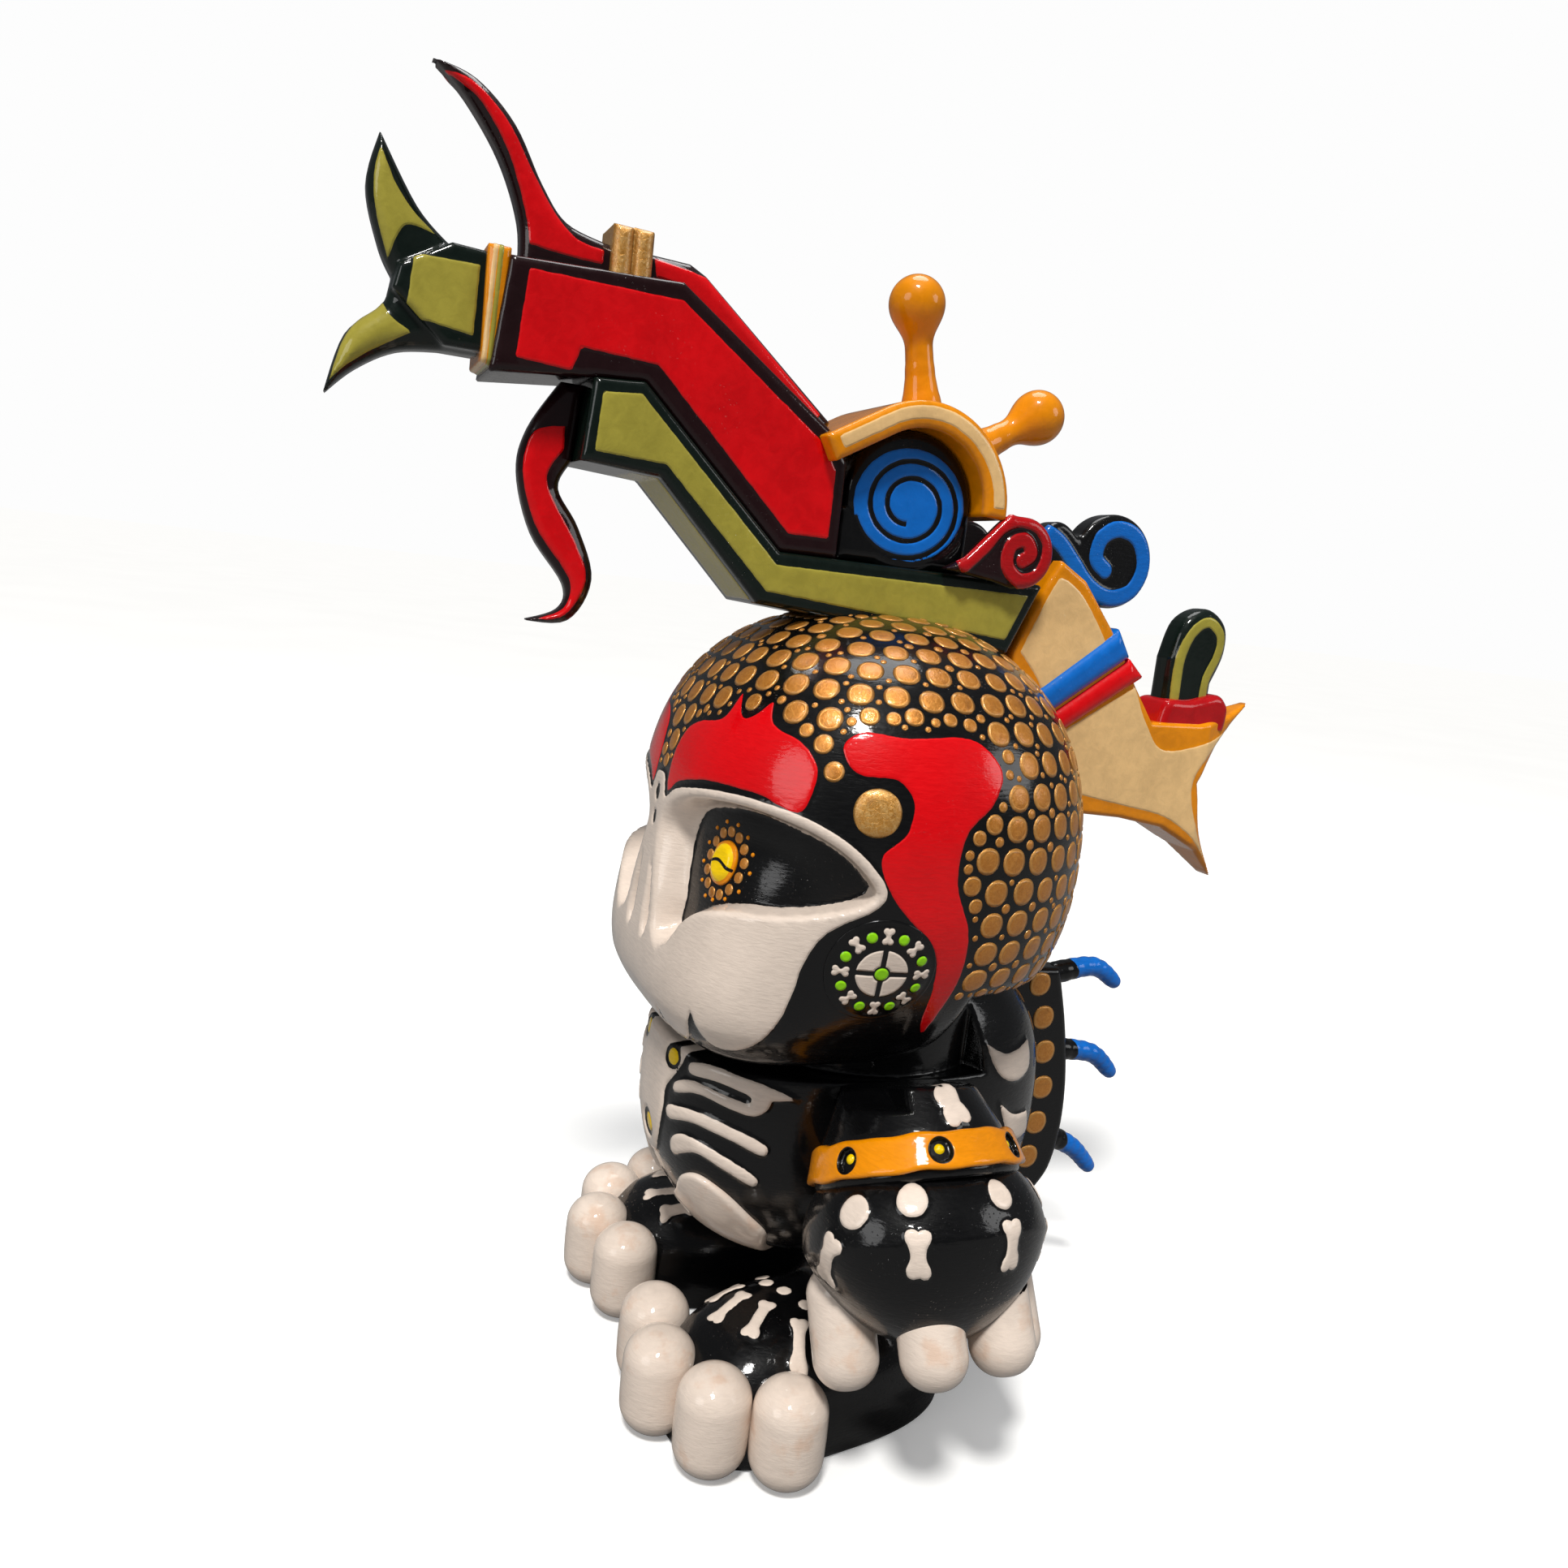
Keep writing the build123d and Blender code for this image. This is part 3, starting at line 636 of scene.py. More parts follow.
def caps(field, centres, radii, height, n, sink=0.35, squash=1.0):
    """Drops of thick paint draped on a field: vertices, faces, shares of the way to the rim, local places."""
    u, v, is_top, is_rim, faces = lens_grid(n)
    centres, radii = np.asarray(centres, float), np.broadcast_to(radii, len(centres))
    centres, normals = settle(field, centres, steps=6, stride=4.0)
    up = np.array([0.0, 0.0, 1.0]) - normals * normals[:, 2:]
    flat = np.linalg.norm(up, axis=1) < 0.05
    up[flat] = np.array([0.0, 1.0, 0.0]) - normals[flat] * normals[flat, 1:2]
    up /= np.linalg.norm(up, axis=1, keepdims=True)
    side = np.cross(up, normals)
    local_u, local_v = u[None] * radii[:, None] * squash, v[None] * radii[:, None]
    spots = centres[:, None] + side[:, None] * local_u[..., None] + up[:, None] * local_v[..., None]
    verts, normals = settle(field, spots.reshape(-1, 3), steps=4, stride=1.5)
    ring = np.sqrt(u * u + v * v)
    rise = np.where(is_top, height * np.clip((1 - ring**4) * 1.15, 0.35, 1), -sink)
    rise = np.where(is_rim, -0.05, rise)
    verts = verts + normals * np.tile(rise, len(centres))[:, None]
    faces = (faces[None] + (np.arange(len(centres)) * len(u))[:, None, None]).reshape(-1, 4)
    return verts, faces, np.tile(ring, len(centres)), (local_u.ravel(), local_v.ravel())


def lay_drops(name, spots, radius, paint, body, slot, field, height=0.4, n=6, sink=0.35, node=None,
              ring_share=1.0):
    """One piece of round drops; its paint follows each drop's rings."""
    verts, faces, ring, _ = caps(field, spots, radius, height, n, sink)
    mesh = make_mesh(name, verts, faces, {"ring": ring * ring_share})
    return settle_in(name, mesh, paint, body, node, slot)


# ---- head: skull
EYE_RIM = on_face([(4.2, 177), (9, 184.2), (18.9, 188.4), (29.4, 190.3), (41.8, 190.6), (53.6, 188.4),
    (62.6, 183.7), (68.9, 177), (71, 172), (68.5, 168), (61, 164.6), (51.3, 162), (41, 160.6), (32, 157.5),
    (26.5, 152.5), (22, 145.5), (17, 142), (12, 146), (9, 157), (5.5, 168)])
EYE_BLACK = on_face([(16, 149), (16.5, 157), (15.2, 166), (15, 176), (20, 183.5), (30, 186.5), (41, 187.2),
    (54.5, 184), (62.8, 179.8), (68.4, 174), (69.2, 171.6), (67.2, 169), (60.5, 165.9), (51, 163.5),
    (40.5, 162), (31.5, 158.7), (25.6, 153.4), (21.5, 147.5)])
EYE_DEPTH = 8.0
NOSTRIL = on_face([(3.6, 167), (6.4, 160), (8.6, 150), (8, 143), (5.4, 141.5), (3.6, 148)], (0,))
NOSTRIL_DEPTH = 2.4
FACE_BONE = on_face([(-6, 191), (2.5, 190.6), (4.6, 187.5), (6.4, 184.4), (12, 188), (20, 190.2),
    (29.4, 191.7), (41.8, 192.1), (54.2, 189.9), (63.6, 184.9), (70.3, 177.6), (72.4, 172), (69.8, 167.3),
    (64.6, 163.4), (60, 158.5), (57, 150.5), (55.8, 143.5), (53.4, 134), (49, 126.2), (43, 121.8),
    (37.4, 122.6), (33.8, 131), (30.8, 121.4), (26, 117.2), (21.6, 117.6), (18.9, 126), (16.5, 118),
    (13, 115.4), (9.6, 116.6), (7.6, 124), (5.6, 116.8), (0, 114.8), (-6, 116)], (0, 21, 25, 29, 32))
BROW_RED = on_face([(6.6, 186.6), (12, 190.2), (20, 192.6), (29, 194), (41.8, 193.8), (47.5, 192),
    (52.6, 191.2), (54.6, 197), (54.6, 203.5), (50, 208.8), (41.6, 212.2), (39, 218.2), (35, 213.6),
    (31, 212.6), (27, 218.8), (24.2, 211), (14, 208.4), (8.2, 204.6), (5.4, 196)], (11, 14))
SIDE_RED = on_face([(59.7, 209.5), (64, 213.6), (74.2, 213.2), (90, 214.2), (97.4, 207), (94.8, 198),
    (88.4, 189.5), (87.4, 176), (92, 162.5), (93.2, 148), (91.6, 136.5), (89.6, 128.6), (87.4, 134),
    (87.2, 145), (84.8, 157), (74.8, 170), (70.4, 181.6), (75, 188.7), (76, 197), (72.2, 202.5),
    (63.4, 203.2)], (11,))
BRIDGE_DOTS = [((0, 184.6), (1.9, 2.5)), ((0, 177), (1.6, 2.2))]
# where the cranium is left plain black or painted red, so has no copper dots
FACE_FIELD = np.array(on_chart([(-20, 100), (-20, 187), (4, 189), (20, 200), (50, 200), (56, 199),
    (62, 200), (75, 199), (87, 190), (85, 160), (92.5, 141), (92.5, 100)], FACE_R))
cranium = blob(*CRANIUM)
jaw = blob(*JAW)


def socket_depth(x, y, z):
    """How far the eye sockets and nostrils are hollowed out below the face."""
    u, v = face_chart(x, y, z)
    rim, black = outline_distance(u, v, EYE_RIM), outline_distance(u, v, EYE_BLACK)
    share = np.clip(-rim, 0, None) / (np.clip(-rim, 0, None) + np.clip(black, 0, None) + 1e-3)
    nostril = np.clip(-outline_distance(u, v, NOSTRIL) / 1.6, 0, 1)
    return EYE_DEPTH * share**2 * (3 - 2 * share) + NOSTRIL_DEPTH * nostril**2 * (3 - 2 * nostril)


def head_mass(x, y, z):
    rear = math.radians(JAW_REAR_DEG)
    lean = np.clip(z - JAW_LEAN[0], 0, 60) * JAW_LEAN[1]
    mass = melt(cranium(x, y, z), jaw(x, y - lean, z), 7)
    behind_jaw = (y - NECK_Y) * math.cos(rear) - np.abs(x) * math.sin(rear)
    return trim(mass, np.minimum(CRANIUM_FLOOR_Z + 0.3 - z, behind_jaw), 7)


def skull_field(x, y, z):
    mass = head_mass(x, y, z) + socket_depth(x, y, z)
    reach = np.sqrt(x**2 + (y - NECK_Y) ** 2)
    recess = np.maximum(reach - NECK_HUMP_R - 0.5, z - NECK_HUMP_TOP_Z - 0.6)
    return trim(mass, -recess, 2)


def face_marks():
    """Distances to the white mask, less its openings, and to the red shapes."""
    def bone(x, y, z):
        u, v = face_chart(x, y, z)
        spots = nearest(*[oval(u, v, *dot) for dot in BRIDGE_DOTS])
        open_bone = np.maximum(outline_distance(u, v, FACE_BONE), -outline_distance(u, v, EYE_BLACK))
        return np.maximum(open_bone, -spots)

    def red(x, y, z):
        u, v = face_chart(x, y, z)
        return np.minimum(outline_distance(u, v, BROW_RED), outline_distance(u, v, SIDE_RED))

    return {"bone": bone, "red": red}


def build_skull():
    material = varnished("skull_paint", BLACK, [("bone", BONE), ("red", RED)], mottle=0.07)
    relief = lambda values: raised(values, "bone", height=0.5) + raised(values, "red", height=0.15)
    carve("skull_shell", skull_field, material, "head", "skull", "black_lacquer", step=1.0,
          marks=face_marks(), relief=relief)


# ---- head: dots, eyes, ears
DOT_PITCH = 9.7
ROW_PITCH = 8.9
DOT_R = 4.15
FILL_RADII = (3.7, 3.0, 2.3, 1.6, 1.0)
DOT_GAP = 0.35
DOT_MARGIN = 0.9
SPOT_PITCH = 1.3
EYE_AT = (31.0, 170.4)         # (degrees round, height)
EYE_RADII = (5.4, 6.6)
EYE_RING_R = 1.75
EYE_RING_COUNT = 13
EYE_SPARK_R = 0.7
EAR_AT = (-14.4, 149.8)        # (y, z)
EAR_R = 15.8
TEMPLE_AT = (-21.5, 194)
TEMPLE_R = 6.6


def cranium_ring(height, count_pitch, offset):
    """Evenly spaced places round the cranium at one height; offset is a share of a space."""
    centre, half, power = CRANIUM
    share = max(1 - abs((height - centre[2]) / half[2]) ** power, 0) ** (1 / power)
    turn = np.linspace(-math.pi, math.pi, 721)
    size = (np.abs(np.cos(turn)) ** power + np.abs(np.sin(turn) * half[0] / half[1]) ** power) ** (-1 / power)
    ring = np.stack([centre[0] + half[0] * share * size * np.cos(turn),
                     centre[1] + half[0] * share * size * np.sin(turn)], 1)
    run = np.concatenate([[0], np.cumsum(np.linalg.norm(np.diff(ring, axis=0), axis=1))])
    count = max(int(round(run[-1] / count_pitch)), 1)
    at = (np.arange(count) + offset) % count * run[-1] / count
    x, y = [np.interp(at, run, ring[:, axis]) for axis in range(2)]
    return np.stack([x, y, np.full(count, height)], 1)


def dot_rows():
    """Heights of the dot rows, evenly spaced down the cranium's curve from its crown."""
    centre, half, power = CRANIUM
    heights = np.linspace(centre[2] + half[2] - 0.01, CRANIUM_FLOOR_Z + 5, 600)
    share = (1 - np.abs((heights - centre[2]) / half[2]) ** power) ** (1 / power)
    run = np.concatenate([[0], np.cumsum(np.hypot(np.diff(share * half[0]), np.diff(heights)))])
    return np.interp(np.arange(2 * ROW_PITCH, run[-1], ROW_PITCH), run, heights)


def room_for_dots(places):
    """How far each place is from the face paint and the headdress."""
    x, y, z = places.T
    u, v = face_chart(x, y, z)
    painted = face_marks()
    boards = np.minimum(slab(LOWER_JAW, LOWER_JAW_HALF_T)(x, y, z), slab(PLUME, PLUME_HALF_T)(x, y, z))
    paint = np.minimum(painted["red"](x, y, z), painted["bone"](x, y, z)) - DOT_MARGIN
    disc = np.hypot(y - TEMPLE_AT[0], z - TEMPLE_AT[1]) - TEMPLE_R - 2.0
    return nearest(paint, outline_distance(u, v, FACE_FIELD), disc, boards + DOT_R * 0.5)


def fill_between(placed, radii, spots, room, radius):
    """Adds a dot of this radius wherever one still fits."""
    for spot in spots[room > radius]:
        if (np.linalg.norm(placed - spot, axis=1) > radii + radius + DOT_GAP).all():
            placed, radii = np.vstack([placed, spot]), np.append(radii, radius)
    return placed, radii


def build_dots():
    rng = np.random.default_rng(7)
    rows = [cranium_ring(height, DOT_PITCH, 0.5 * (i % 2)) for i, height in enumerate(dot_rows())]
    big = np.concatenate(rows)
    big += rng.normal(0, 0.22, big.shape)
    big = big[room_for_dots(big) > DOT_R]
    radii = DOT_R * rng.uniform(0.94, 1.02, len(big))
    fine = np.linspace(CRANIUM[0][2] + CRANIUM[1][2] - 1, CRANIUM_FLOOR_Z + 4, 110)
    spots = np.concatenate([cranium_ring(height, SPOT_PITCH, 0.0) for height in fine])
    room = room_for_dots(spots)
    for radius in FILL_RADII:
        big, radii = fill_between(big, radii, spots, room, radius)
    large = radii > FILL_RADII[-2] + 0.1
    for name, keep, n, height in (("copper_dots", large, 6, 0.38), ("copper_specks", ~large, 4, 0.3)):
        lay_drops(name, big[keep], radii[keep], COPPER_PAINT, "head", "gold_paint", skull_field, height, n)


def build_eye():
    """Left eye: a yellow almond with a black slit, in a ring of small copper dots and sparks."""
    reach = FACE_R - EYE_DEPTH

    def place(du, dv):
        turn = math.radians(EYE_AT[0]) + du / reach
        return (reach * math.sin(turn), FACE_Y - reach * math.cos(turn), EYE_AT[1] + dv)

    verts, faces, ring, (u, v) = caps(skull_field, [place(0, 0)], EYE_RADII[1], 2.0, 36,
                                      squash=EYE_RADII[0] / EYE_RADII[1])
    slit = np.abs(v - 0.9 * np.cos(u * 0.55 + 0.5) + 0.4) - 0.5
    marks = {"slit": np.where(ring > 0.97, 1.0, slit), "rim": (0.84 - ring) * EYE_RADII[0]}
    material = varnished("eye_paint", YELLOW, [("rim", ORANGE), ("slit", BLACK)], mottle=0.12, wobble=0.1)
    mesh = make_mesh("left_eye_drop", verts, faces, marks)
    twin(settle_in("left_eye_drop", mesh, material, "head", "left_eye", "yellow_paint"), "right_eye")
    turns = 2 * math.pi * np.arange(EYE_RING_COUNT) / EYE_RING_COUNT
    rings = [place(7.6 * math.sin(t), 9.3 * math.cos(t)) for t in turns]
    sparks = [place(10.3 * math.sin(t + 0.24), 12.1 * math.cos(t + 0.24)) for t in turns]
    twin(lay_drops("left_eye_ring", rings, EYE_RING_R, COPPER_PAINT, "head", "gold_paint", skull_field,
                   sink=0.25))
    twin(lay_drops("left_eye_sparks", sparks, EYE_SPARK_R, ORANGE_PAINT, "head", "orange_paint", skull_field,
                   n=4, sink=0.25))


def ear_marks(u, v, ring):
    """White quartered wheel, lime drops and radial bones of an ear cap."""
    r = np.hypot(u, v)
    cross = np.minimum(np.abs(u), np.abs(v))
    white = np.maximum.reduce([r - 7.2, 2.4 - r, 0.75 - cross])
    lime = r - 1.9
    for k in range(8):
        a = math.pi / 4 * k
        start, end = [(d * math.cos(a), d * math.sin(a)) for d in (9.0, 13.6)]
        white = np.minimum(white, bone_shape(u, v, start, end, 2.9))
        b = a + math.pi / 8
        lime = np.minimum(lime, np.hypot(u - 11.4 * math.cos(b), v - 11.4 * math.sin(b)) - 1.5)
    return {"white": white, "lime": lime, "ring": ring}


def build_ears_and_temples():
    verts, faces, ring, (u, v) = caps(head_mass, [(70, *EAR_AT)], EAR_R, 1.0, 96, sink=0.6)
    marks = ear_marks(-u, v, ring)
    rise = raised(marks, "white", height=0.25, width=0.4) + raised(marks, "lime", height=0.45, width=0.9)
    _, normals = settle(head_mass, verts, steps=0)
    verts = verts + normals * rise[:, None]
    material = varnished("ear_paint", BLACK, [("white", BONE), ("lime", LIME)], mottle=0.05, wobble=0.12)
    mesh = make_mesh("left_ear_cap", verts, faces, marks)
    ear = settle_in("left_ear_cap", mesh, material, "head", "left_ear_disc", "black_lacquer")
    twin(ear, "right_ear_disc")
    spots = [(70, *TEMPLE_AT), (-70, *TEMPLE_AT)]
    # only the inner part of the ring pattern shows on them, which has no pale rim
    lay_drops("temple_drops", spots, TEMPLE_R, GOLD_PAINT, "head", "gold_paint", head_mass, 0.95, 20,
              node="temple_discs", ring_share=0.6)


# ---- head: serpent headdress
LOWER_JAW_HALF_T = 15.0
LOWER_JAW = np.array([(-94.5, 276.5), (-92.5, 298.5), (-78.5, 299.5), (-34.5, 259), (56, 258.7), (46, 236),
    (-40, 243.5), (-72, 275)])
JAW_OLIVE = np.array([(-91.2, 279.4), (-90.2, 295), (-79.6, 296), (-35.6, 255.2), (50.4, 254.9),
    (44.2, 240.4), (-38, 247.4), (-71, 278.6)])
UPPER_JAW_HALF_T = 13.5
UPPER_JAW = np.array([(-120, 295.5), (-116.5, 325), (-70, 327), (-22, 295), (-16, 287), (-16, 259),
    (-34.5, 259), (-78.5, 299.5), (-92.5, 298.5)])
SNOUT_RED = np.array([(-113.6, 300), (-111.6, 322.4), (-70, 322), (-24.4, 291), (-19.8, 284),
    (-19.8, 264.5), (-32.6, 264.5), (-75.4, 304.4), (-96.6, 305.4), (-98.8, 299)])
CREST_HALF_T = 5.2
CREST = chain([[(-21, 292), (-70, 325), (-112.6, 324)], [(-112.6, 324), (-113.5, 336), (-119.5, 350.5),
    (-129, 363), (-137.5, 370)], [(-137.5, 370), (-126.5, 367.6), (-116, 359), (-108, 346), (-101, 338),
    (-90, 335)], [(-90, 335), (-66, 334.4), (-61, 332), (-18.7, 298.6), (-21, 292)]], (0, 3))
HORN_RED = bend([(-134.5, 367.6), (-126.9, 365.6), (-118.4, 358.6), (-111.6, 348.6), (-105, 339.6),
    (-98.6, 333.9), (-91, 332.4), (-91, 328.8), (-102, 329.2), (-110.6, 330.2), (-112.2, 337.6),
    (-117.2, 350.4), (-125, 361.4)], (0, 6, 7, 9))
STRIP_RED = np.array([(-77, 333.4), (-61.4, 331.2), (-23, 300.2), (-25.6, 296.4), (-67.6, 327.8),
    (-76, 328.6)])
RING_STARTS = (-89.2, -83.4)
RING_W = 5.6
TONGUE_HALF_T = 9.0
TONGUE = chain([[(-119, 300), (-119, 325), (-130, 326)], [(-130, 326), (-139, 334), (-149, 350)],
    [(-149, 350), (-151.7, 337), (-148, 323), (-144.3, 316)], [(-144.3, 316), (-146.5, 308.5), (-155, 300),
    (-159.5, 284.5)], [(-159.5, 284.5), (-152, 292), (-142, 298), (-130, 300)], [(-130, 300), (-119, 300)]],
    (0, 5))
TONGUE_BLOCK = np.array([(-118, 300.6), (-118, 325.4), (-130.5, 326), (-143, 318.6), (-144.4, 312.4),
    (-131, 300.6)])
TONGUE_OLIVE = np.array([(-139.6, 321.4), (-123.4, 321.6), (-124, 304), (-141, 306.4)])
TINES_OLIVE = [bend([(-148.7, 345.6), (-145.2, 338), (-140.6, 332.2), (-134.4, 327.4), (-142, 328),
    (-145.6, 319.6), (-149.2, 331), (-149.9, 339)], (0, 3, 5)), bend([(-146.6, 310), (-144.2, 305.6),
    (-139, 302.6), (-147, 297.8), (-154.2, 292.2), (-158, 287.8), (-155.2, 298.2), (-151, 304.8)], (0, 2,
    5))]
COLLAR_HALF_T = 12.0
TONGUE_COLLAR = np.array([(-122, 298), (-122, 327), (-116, 327), (-116, 296)])
FANG_HALF_T = 4.4
FANG = chain([[(-99, 297.5), (-107, 284), (-109, 272), (-104, 256), (-94, 243), (-95, 236), (-105, 232)],
    [(-105, 232), (-92, 233), (-86, 245), (-91, 259), (-97.5, 269), (-94.5, 276.5)], [(-94.5, 276.5),
    (-92.5, 297.5), (-99, 297.5)]], (2,))
FANG_RED = bend([(-97.6, 285.6), (-105.6, 283), (-107.8, 272.4), (-103.4, 258.4), (-94.8, 247.4),
    (-92.2, 242), (-94, 236), (-101, 232.6), (-93.4, 234.6), (-88.4, 244.6), (-92, 254.6), (-98.6, 264.6),
    (-101.4, 272), (-97.4, 279.6)], (0, 7, 13))
EYE_CENTRE = (6.7, 278.0)
ARCH_R = (21.5, 29.5)
ARCH_FROM_DEG = -3.0
ARCH_TO_DEG = 120.0
ARCH_TAIL = 21.0
ARCH_HALF_T = 20.0
EYE_BLOCK_HALF_T = 12.0
SPIRAL_TURNS = 2.2
SPIRAL_PITCH = 5.6
KNOBS = [((13, 305), (6.6, 337.6)), ((31, 297), (54.3, 311.5))]
KNOB_R = 8.7
CURL_CENTRE = (43.7, 267.5)
CURL_R = 11.0
CURL_T = 5.5
CURL_TAIL = np.array([(17.5, 260), (24, 263.6), (31, 271), (38, 278), (45, 274), (42, 257)])
CURL_RED = bend([(23.5, 262), (29.4, 268), (34.6, 274.6), (41, 277.4), (48.6, 275.6), (52.4, 269.4),
    (50, 261.6), (43.6, 259.2), (38.4, 263), (38.6, 269.2), (43.4, 271.4), (46.2, 267.6), (43.4, 265.2)],
    closed=False)
BLUE_CURL_CENTRE = (89, 269.6)
BLUE_CURL_R = 15.5
BLUE_CURL_HALF_T = 5.5
BLUE_STEM = bend([(56, 262), (60, 276), (67, 280), (76, 274), (85, 262), (78, 255), (66, 261)], (0,))
CURL_BLUE = bend([(61, 276), (66.6, 273), (73, 267), (80, 260.6), (88.4, 257.6), (97, 260.6), (100.6, 269),
    (97.2, 277.6), (89.4, 280.4), (82.6, 277), (81.2, 270.2), (85.4, 266.4)], closed=False)
PLUME_HALF_T = 10.5
PLUME = chain([[(50, 236), (60, 259), (65, 267.7), (75.6, 262), (91.5, 244), (101.6, 229.5), (111, 217.5),
    (132, 218), (147, 221.5), (160.3, 227)], [(160.3, 227), (144, 213), (135, 197)], [(135, 197),
    (141, 178.5), (154, 161)], [(154, 161), (140, 172), (122, 180.6), (103.5, 183.5), (60, 186),
    (50, 236)]], (0, 3))
PLUME_CREAM = [bend([(53.5, 237), (62.5, 258.6), (66.6, 261.6), (76, 255.4), (88, 240.4), (91, 236),
    (66, 220), (62, 228)], (0, 5, 6)), bend([(72, 211), (101, 229), (108, 216.6), (118, 208), (141, 213.6),
    (155.5, 223), (141, 211), (132, 197), (137.6, 180), (149.4, 165.6), (136, 177), (122, 184.6),
    (104, 188), (80, 192)], (0, 1, 5, 9, 13))]
BLUE_BAND = np.array([(60, 224), (64, 215), (97, 238.7), (91, 248)])
RED_BAND = np.array([(64, 215), (68, 208), (104, 232.5), (97, 238.7)])
BAND_PROUD = 2.2
HOOK_HALF_T = 5.5
HOOK = chain([[(119, 214), (119, 240)], [(119, 240), (123, 253), (132.4, 258), (141, 253), (142.5, 243),
    (138.6, 232)], [(138.6, 232), (138.6, 214), (119, 214)]], (0, 2))
HOOK_OLIVE = bend([(122.4, 226), (122.4, 240), (126, 249.4), (132.2, 253.4), (138, 249.4), (138.2, 242.6),
    (134.8, 234), (134.4, 226)], closed=False)
HOOK_COLLAR_HALF_T = 9.0
HOOK_COLLAR = bend([(114.6, 214), (116.4, 222.6), (119, 225.6), (128, 226), (139, 228.6), (143.6, 226),
    (145, 222), (144, 214)], (0, 7))


def board(node, field, base, slot, panels=(), step=0.8, mottle=0.1):
    """A headdress board with panels (stored name, colour, distance rule) painted on it."""
    layers = [(key, code) for key, code, _ in panels]
    marks = {key: rule for key, _, rule in panels}
    material = varnished(node + "_paint", base, layers, mottle=mottle, brush=(1, 1, 1))
    relief = (lambda values: raised(values, *marks, height=0.22)) if marks else None
    return carve(node + "_carving", field, material, "head", node, slot, step, marks, relief)


def below_jaw(x, y, z):
    """Olive strip along the lower jaw's underside, in from its edges."""
    under = outline_distance(y, z + 3.0, LOWER_JAW)
    return np.maximum.reduce([np.abs(x) - LOWER_JAW_HALF_T + 4.5, under + 1.2, z - 275.5, y + 41])


def build_jaws():
    board("lower_jaw", slab(LOWER_JAW, LOWER_JAW_HALF_T, 1.8), BOTTLE, "olive_paint",
          [("olive", OLIVE, lambda x, y, z: np.minimum(side_panel(JAW_OLIVE, LOWER_JAW_HALF_T)(x, y, z),
                                                       below_jaw(x, y, z)))], step=0.9)
    board("upper_jaw", slab(UPPER_JAW, UPPER_JAW_HALF_T, 1.8), MAROON, "red_paint",
          [("red", RED, side_panel(SNOUT_RED, UPPER_JAW_HALF_T))], step=0.9)
    horn = side_panel(HORN_RED, CREST_HALF_T, 3.6)
    strip = side_panel(STRIP_RED, CREST_HALF_T, 3.4)
    board("nose_crest", slab(CREST, CREST_HALF_T, 3.6), MAROON, "red_paint",
          [("red", RED, lambda x, y, z: np.minimum(horn(x, y, z), strip(x, y, z)))], step=0.6)
    fang = slab(FANG, FANG_HALF_T, 3.4)
    board("fang", fang, MAROON, "red_paint", [("red", RED, side_panel(FANG_RED, FANG_HALF_T, 3.4))],
          step=0.5)


def build_rings():
    def bars(x, y, z):
        ends = [(a, a + RING_W) for a in RING_STARTS]
        rings = [slab(np.array([(a, 321), (a, 339.6), (b, 339.4), (b, 321)]), 8.8, 2.75) for a, b in ends]
        return melt(*[ring(x, y, z) for ring in rings], 0.7)
    carve("crest_ring_pair", bars, GOLD_PAINT, "head", "crest_rings", "gold_paint", step=0.5)


def build_tongue():
    block, tines = slab(TONGUE_BLOCK, TONGUE_HALF_T, 1.6), slab(TONGUE, 6.6, 5.0)

    def olive(x, y, z):
        tips = nearest(*[outline_distance(y, z, tine) for tine in TINES_OLIVE])
        return np.minimum(side_panel(TONGUE_OLIVE, TONGUE_HALF_T)(x, y, z), np.maximum(tips, 1.5 - np.abs(x)))

    board("tongue", lambda x, y, z: melt(block(x, y, z), tines(x, y, z), 1.2), BOTTLE,
          "olive_paint", [("olive", OLIVE, olive)], step=0.6)

    def lines(offset):
        return lambda x, y, z: np.abs(y + 119.2 - (z - 312) * 0.04 - offset) - 0.6

    board("tongue_collar", slab(TONGUE_COLLAR, COLLAR_HALF_T, 1.6), ORANGE, "orange_paint",
          [("cream_line", CREAM, lines(-1.5)), ("green_line", OLIVE, lines(-0.1))], step=0.5)


def arch_field(x, y, z):
    """Hood over the serpent's eyes: a thick arc with a straight tail."""
    dy, dz = y - EYE_CENTRE[0], z - EYE_CENTRE[1]
    middle, half_w = sum(ARCH_R) / 2, (ARCH_R[1] - ARCH_R[0]) / 2
    side = np.abs(arch_line(y, z)) - half_w
    low = math.radians(ARCH_FROM_DEG)
    end = math.radians(ARCH_TO_DEG)
    before = -(dz * math.cos(low) - dy * math.sin(low))
    beyond = (-dy * math.sin(end) + dz * math.cos(end)) - ARCH_TAIL
    left = -dy * math.sin(end) + dz * math.cos(end) > 0
    inward = np.where(left, -1e3, np.where(dz > 0, before, np.maximum(before, -(dy - middle * 0.5))))
    side = np.maximum.reduce([side, inward, np.where(left, beyond, -1e3)])
    return rounded(side, np.abs(x) - ARCH_HALF_T, 1.8)


def arch_line(y, z):
    """Signed distance to the hood's centre line."""
    dy, dz = y - EYE_CENTRE[0], z - EYE_CENTRE[1]
    end = math.radians(ARCH_TO_DEG)
    middle = sum(ARCH_R) / 2
    straight = -dy * math.sin(end) + dz * math.cos(end) > 0
    return np.where(straight, dy * math.cos(end) + dz * math.sin(end), np.hypot(dy, dz)) - middle


